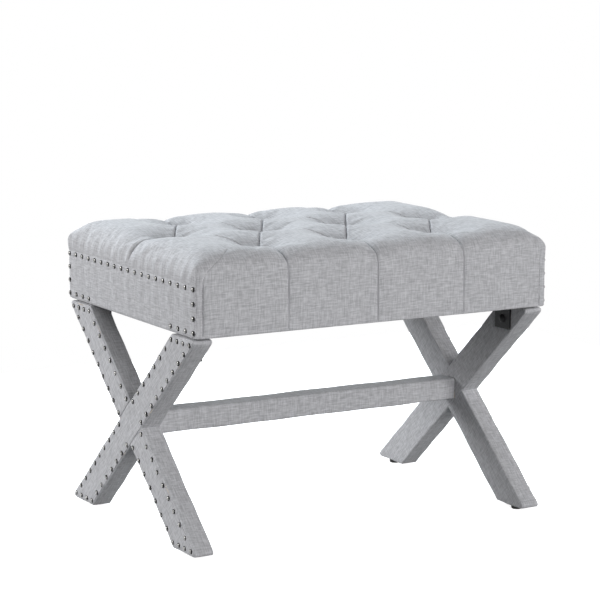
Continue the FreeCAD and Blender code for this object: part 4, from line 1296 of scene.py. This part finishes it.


# %% Nail finish
# Painted shade and painted highlight: the nail tone is darker towards the rim and paler on the crown, by height
# on the dome.
PAINTED_HIGHLIGHT_TONE = (0.19, 0.186, 0.18, 1)
PAINTED_SHADE_TONE = (0.01, 0.01, 0.01, 1)
PAINTED_SHADE_HEIGHT = 0.12
dark_nickel, nickel_nodes, nickel_links, nickel_shader = new_material("dark_nickel")
nickel_shader.inputs["Metallic"].default_value = 1.0
nickel_place = nickel_nodes.new("ShaderNodeTexCoord").outputs["Object"]
nickel_parts = nickel_nodes.new("ShaderNodeSeparateXYZ")
nickel_links.new(nickel_place, nickel_parts.inputs["Vector"])
outwards = combined(nickel_nodes, nickel_links, "ABSOLUTE", nickel_parts.outputs["X"], 0)
height = nickel_nodes.new("ShaderNodeMapRange")
height.inputs["From Min"].default_value = STRIP_FACE
height.inputs["From Max"].default_value = STRIP_FACE + NAIL_HEIGHT
nickel_links.new(outwards, height.inputs["Value"])
tarnish = nickel_nodes.new("ShaderNodeTexNoise")
tarnish.inputs["Scale"].default_value = 420
tarnish.inputs["Detail"].default_value = 3
nickel_links.new(nickel_place, tarnish.inputs["Vector"])
# Painted shade below this height and painted highlight above it, broken up by a fine noise.
painted_light = combined(nickel_nodes, nickel_links, "SUBTRACT", height.outputs["Result"], PAINTED_SHADE_HEIGHT)
painted_light = combined(nickel_nodes, nickel_links, "MULTIPLY", painted_light, tarnish.outputs["Fac"])
nickel_ramp = nickel_nodes.new("ShaderNodeValToRGB")
nickel_ramp.color_ramp.elements[0].position = 0.22
nickel_ramp.color_ramp.elements[0].color = PAINTED_SHADE_TONE
nickel_ramp.color_ramp.elements[1].position = 0.36
nickel_ramp.color_ramp.elements[1].color = PAINTED_HIGHLIGHT_TONE
nickel_links.new(painted_light, nickel_ramp.inputs["Fac"])
nickel_links.new(nickel_ramp.outputs["Color"], nickel_shader.inputs["Base Color"])
nickel_gloss = nickel_nodes.new("ShaderNodeMapRange")
nickel_gloss.inputs["To Min"].default_value = 0.28
nickel_gloss.inputs["To Max"].default_value = 0.16
nickel_links.new(tarnish.outputs["Fac"], nickel_gloss.inputs["Value"])
nickel_links.new(nickel_gloss.outputs["Result"], nickel_shader.inputs["Roughness"])
print("nail finish:", len(nickel_nodes), "shader nodes")

# %% Slots
PINE = ((0.55, 0.38, 0.21), (0.76, 0.60, 0.40))
PLYWOOD = ((0.50, 0.36, 0.22), (0.74, 0.58, 0.39))
BEECH = ((0.58, 0.40, 0.26), (0.72, 0.55, 0.38))
FOAM = ((0.74, 0.68, 0.52), (0.88, 0.83, 0.70))
TWINE = ((0.62, 0.58, 0.48), (0.84, 0.81, 0.73))
ZINC = ((0.42, 0.42, 0.42), (0.66, 0.66, 0.64))
BLACK_PLASTIC = ((0.012, 0.012, 0.012), (0.03, 0.03, 0.03))
BLACK_STEEL = ((0.008, 0.008, 0.009), (0.02, 0.02, 0.021))
BLACK_CLOTH = ((0.012, 0.012, 0.012), (0.045, 0.045, 0.045))

pine_lengthwise = grained("pine_lengthwise", *PINE, (6, 160, 160), 0.6)
pine_crosswise = grained("pine_crosswise", *PINE, (160, 6, 160), 0.6)
finishes = {
    "linen": linen,
    "pine": pine_lengthwise,
    "plywood": grained("plywood", *PLYWOOD, (9, 60, 900), 0.65),
    "beech_dowel": grained("beech", *BEECH, (300, 300, 40), 0.55),
    "foam": grained("foam", *FOAM, (900, 900, 900), 0.95, bump=0.4),
    "nail_heads": dark_nickel,
    "black_plastic": grained("black_plastic", *BLACK_PLASTIC, (500, 500, 500), 0.5, shine=0.2),
    "black_steel": grained("black_steel", *BLACK_STEEL, (400, 400, 400), 0.5, shine=0.1),
    "zinc_steel": grained("zinc_steel", *ZINC, (300, 300, 300), 0.35, metallic=1.0, bump=0.05),
    "twine": grained("twine", *TWINE, (900, 900, 260), 0.8, bump=0.5),
    "dust_cloth": grained("dust_cloth", *BLACK_CLOTH, (800, 800, 800), 0.9, bump=0.5, shine=0.1),
}
for part in frame["record"]["subparts"]:
    node = nodes[part["node"]]
    node.data.materials.clear()
    node.data.materials.append(finishes[part["material_slot"]])
for name in ("seat_left_rail", "seat_right_rail", "left_leg_cleat", "right_leg_cleat"):
    nodes[name].data.materials[0] = pine_crosswise
print("finishes:", ", ".join(finishes))

# %% Finish the padding, the dust cover, the staples and the nails
smoothly_shaded(padding, 60)
finish_piece(padding, finishes["foam"])
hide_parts("seat_foam")
finish_piece(dust_sheet, finishes["dust_cloth"])
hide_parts("dust_cover")
finish_piece(staples, finishes["zinc_steel"])
for piece in nail_pieces:
    finish_piece(piece, finishes["nail_heads"])
print("dressed:", padding.name, dust_sheet.name, len(nail_pieces), "rows of nails")
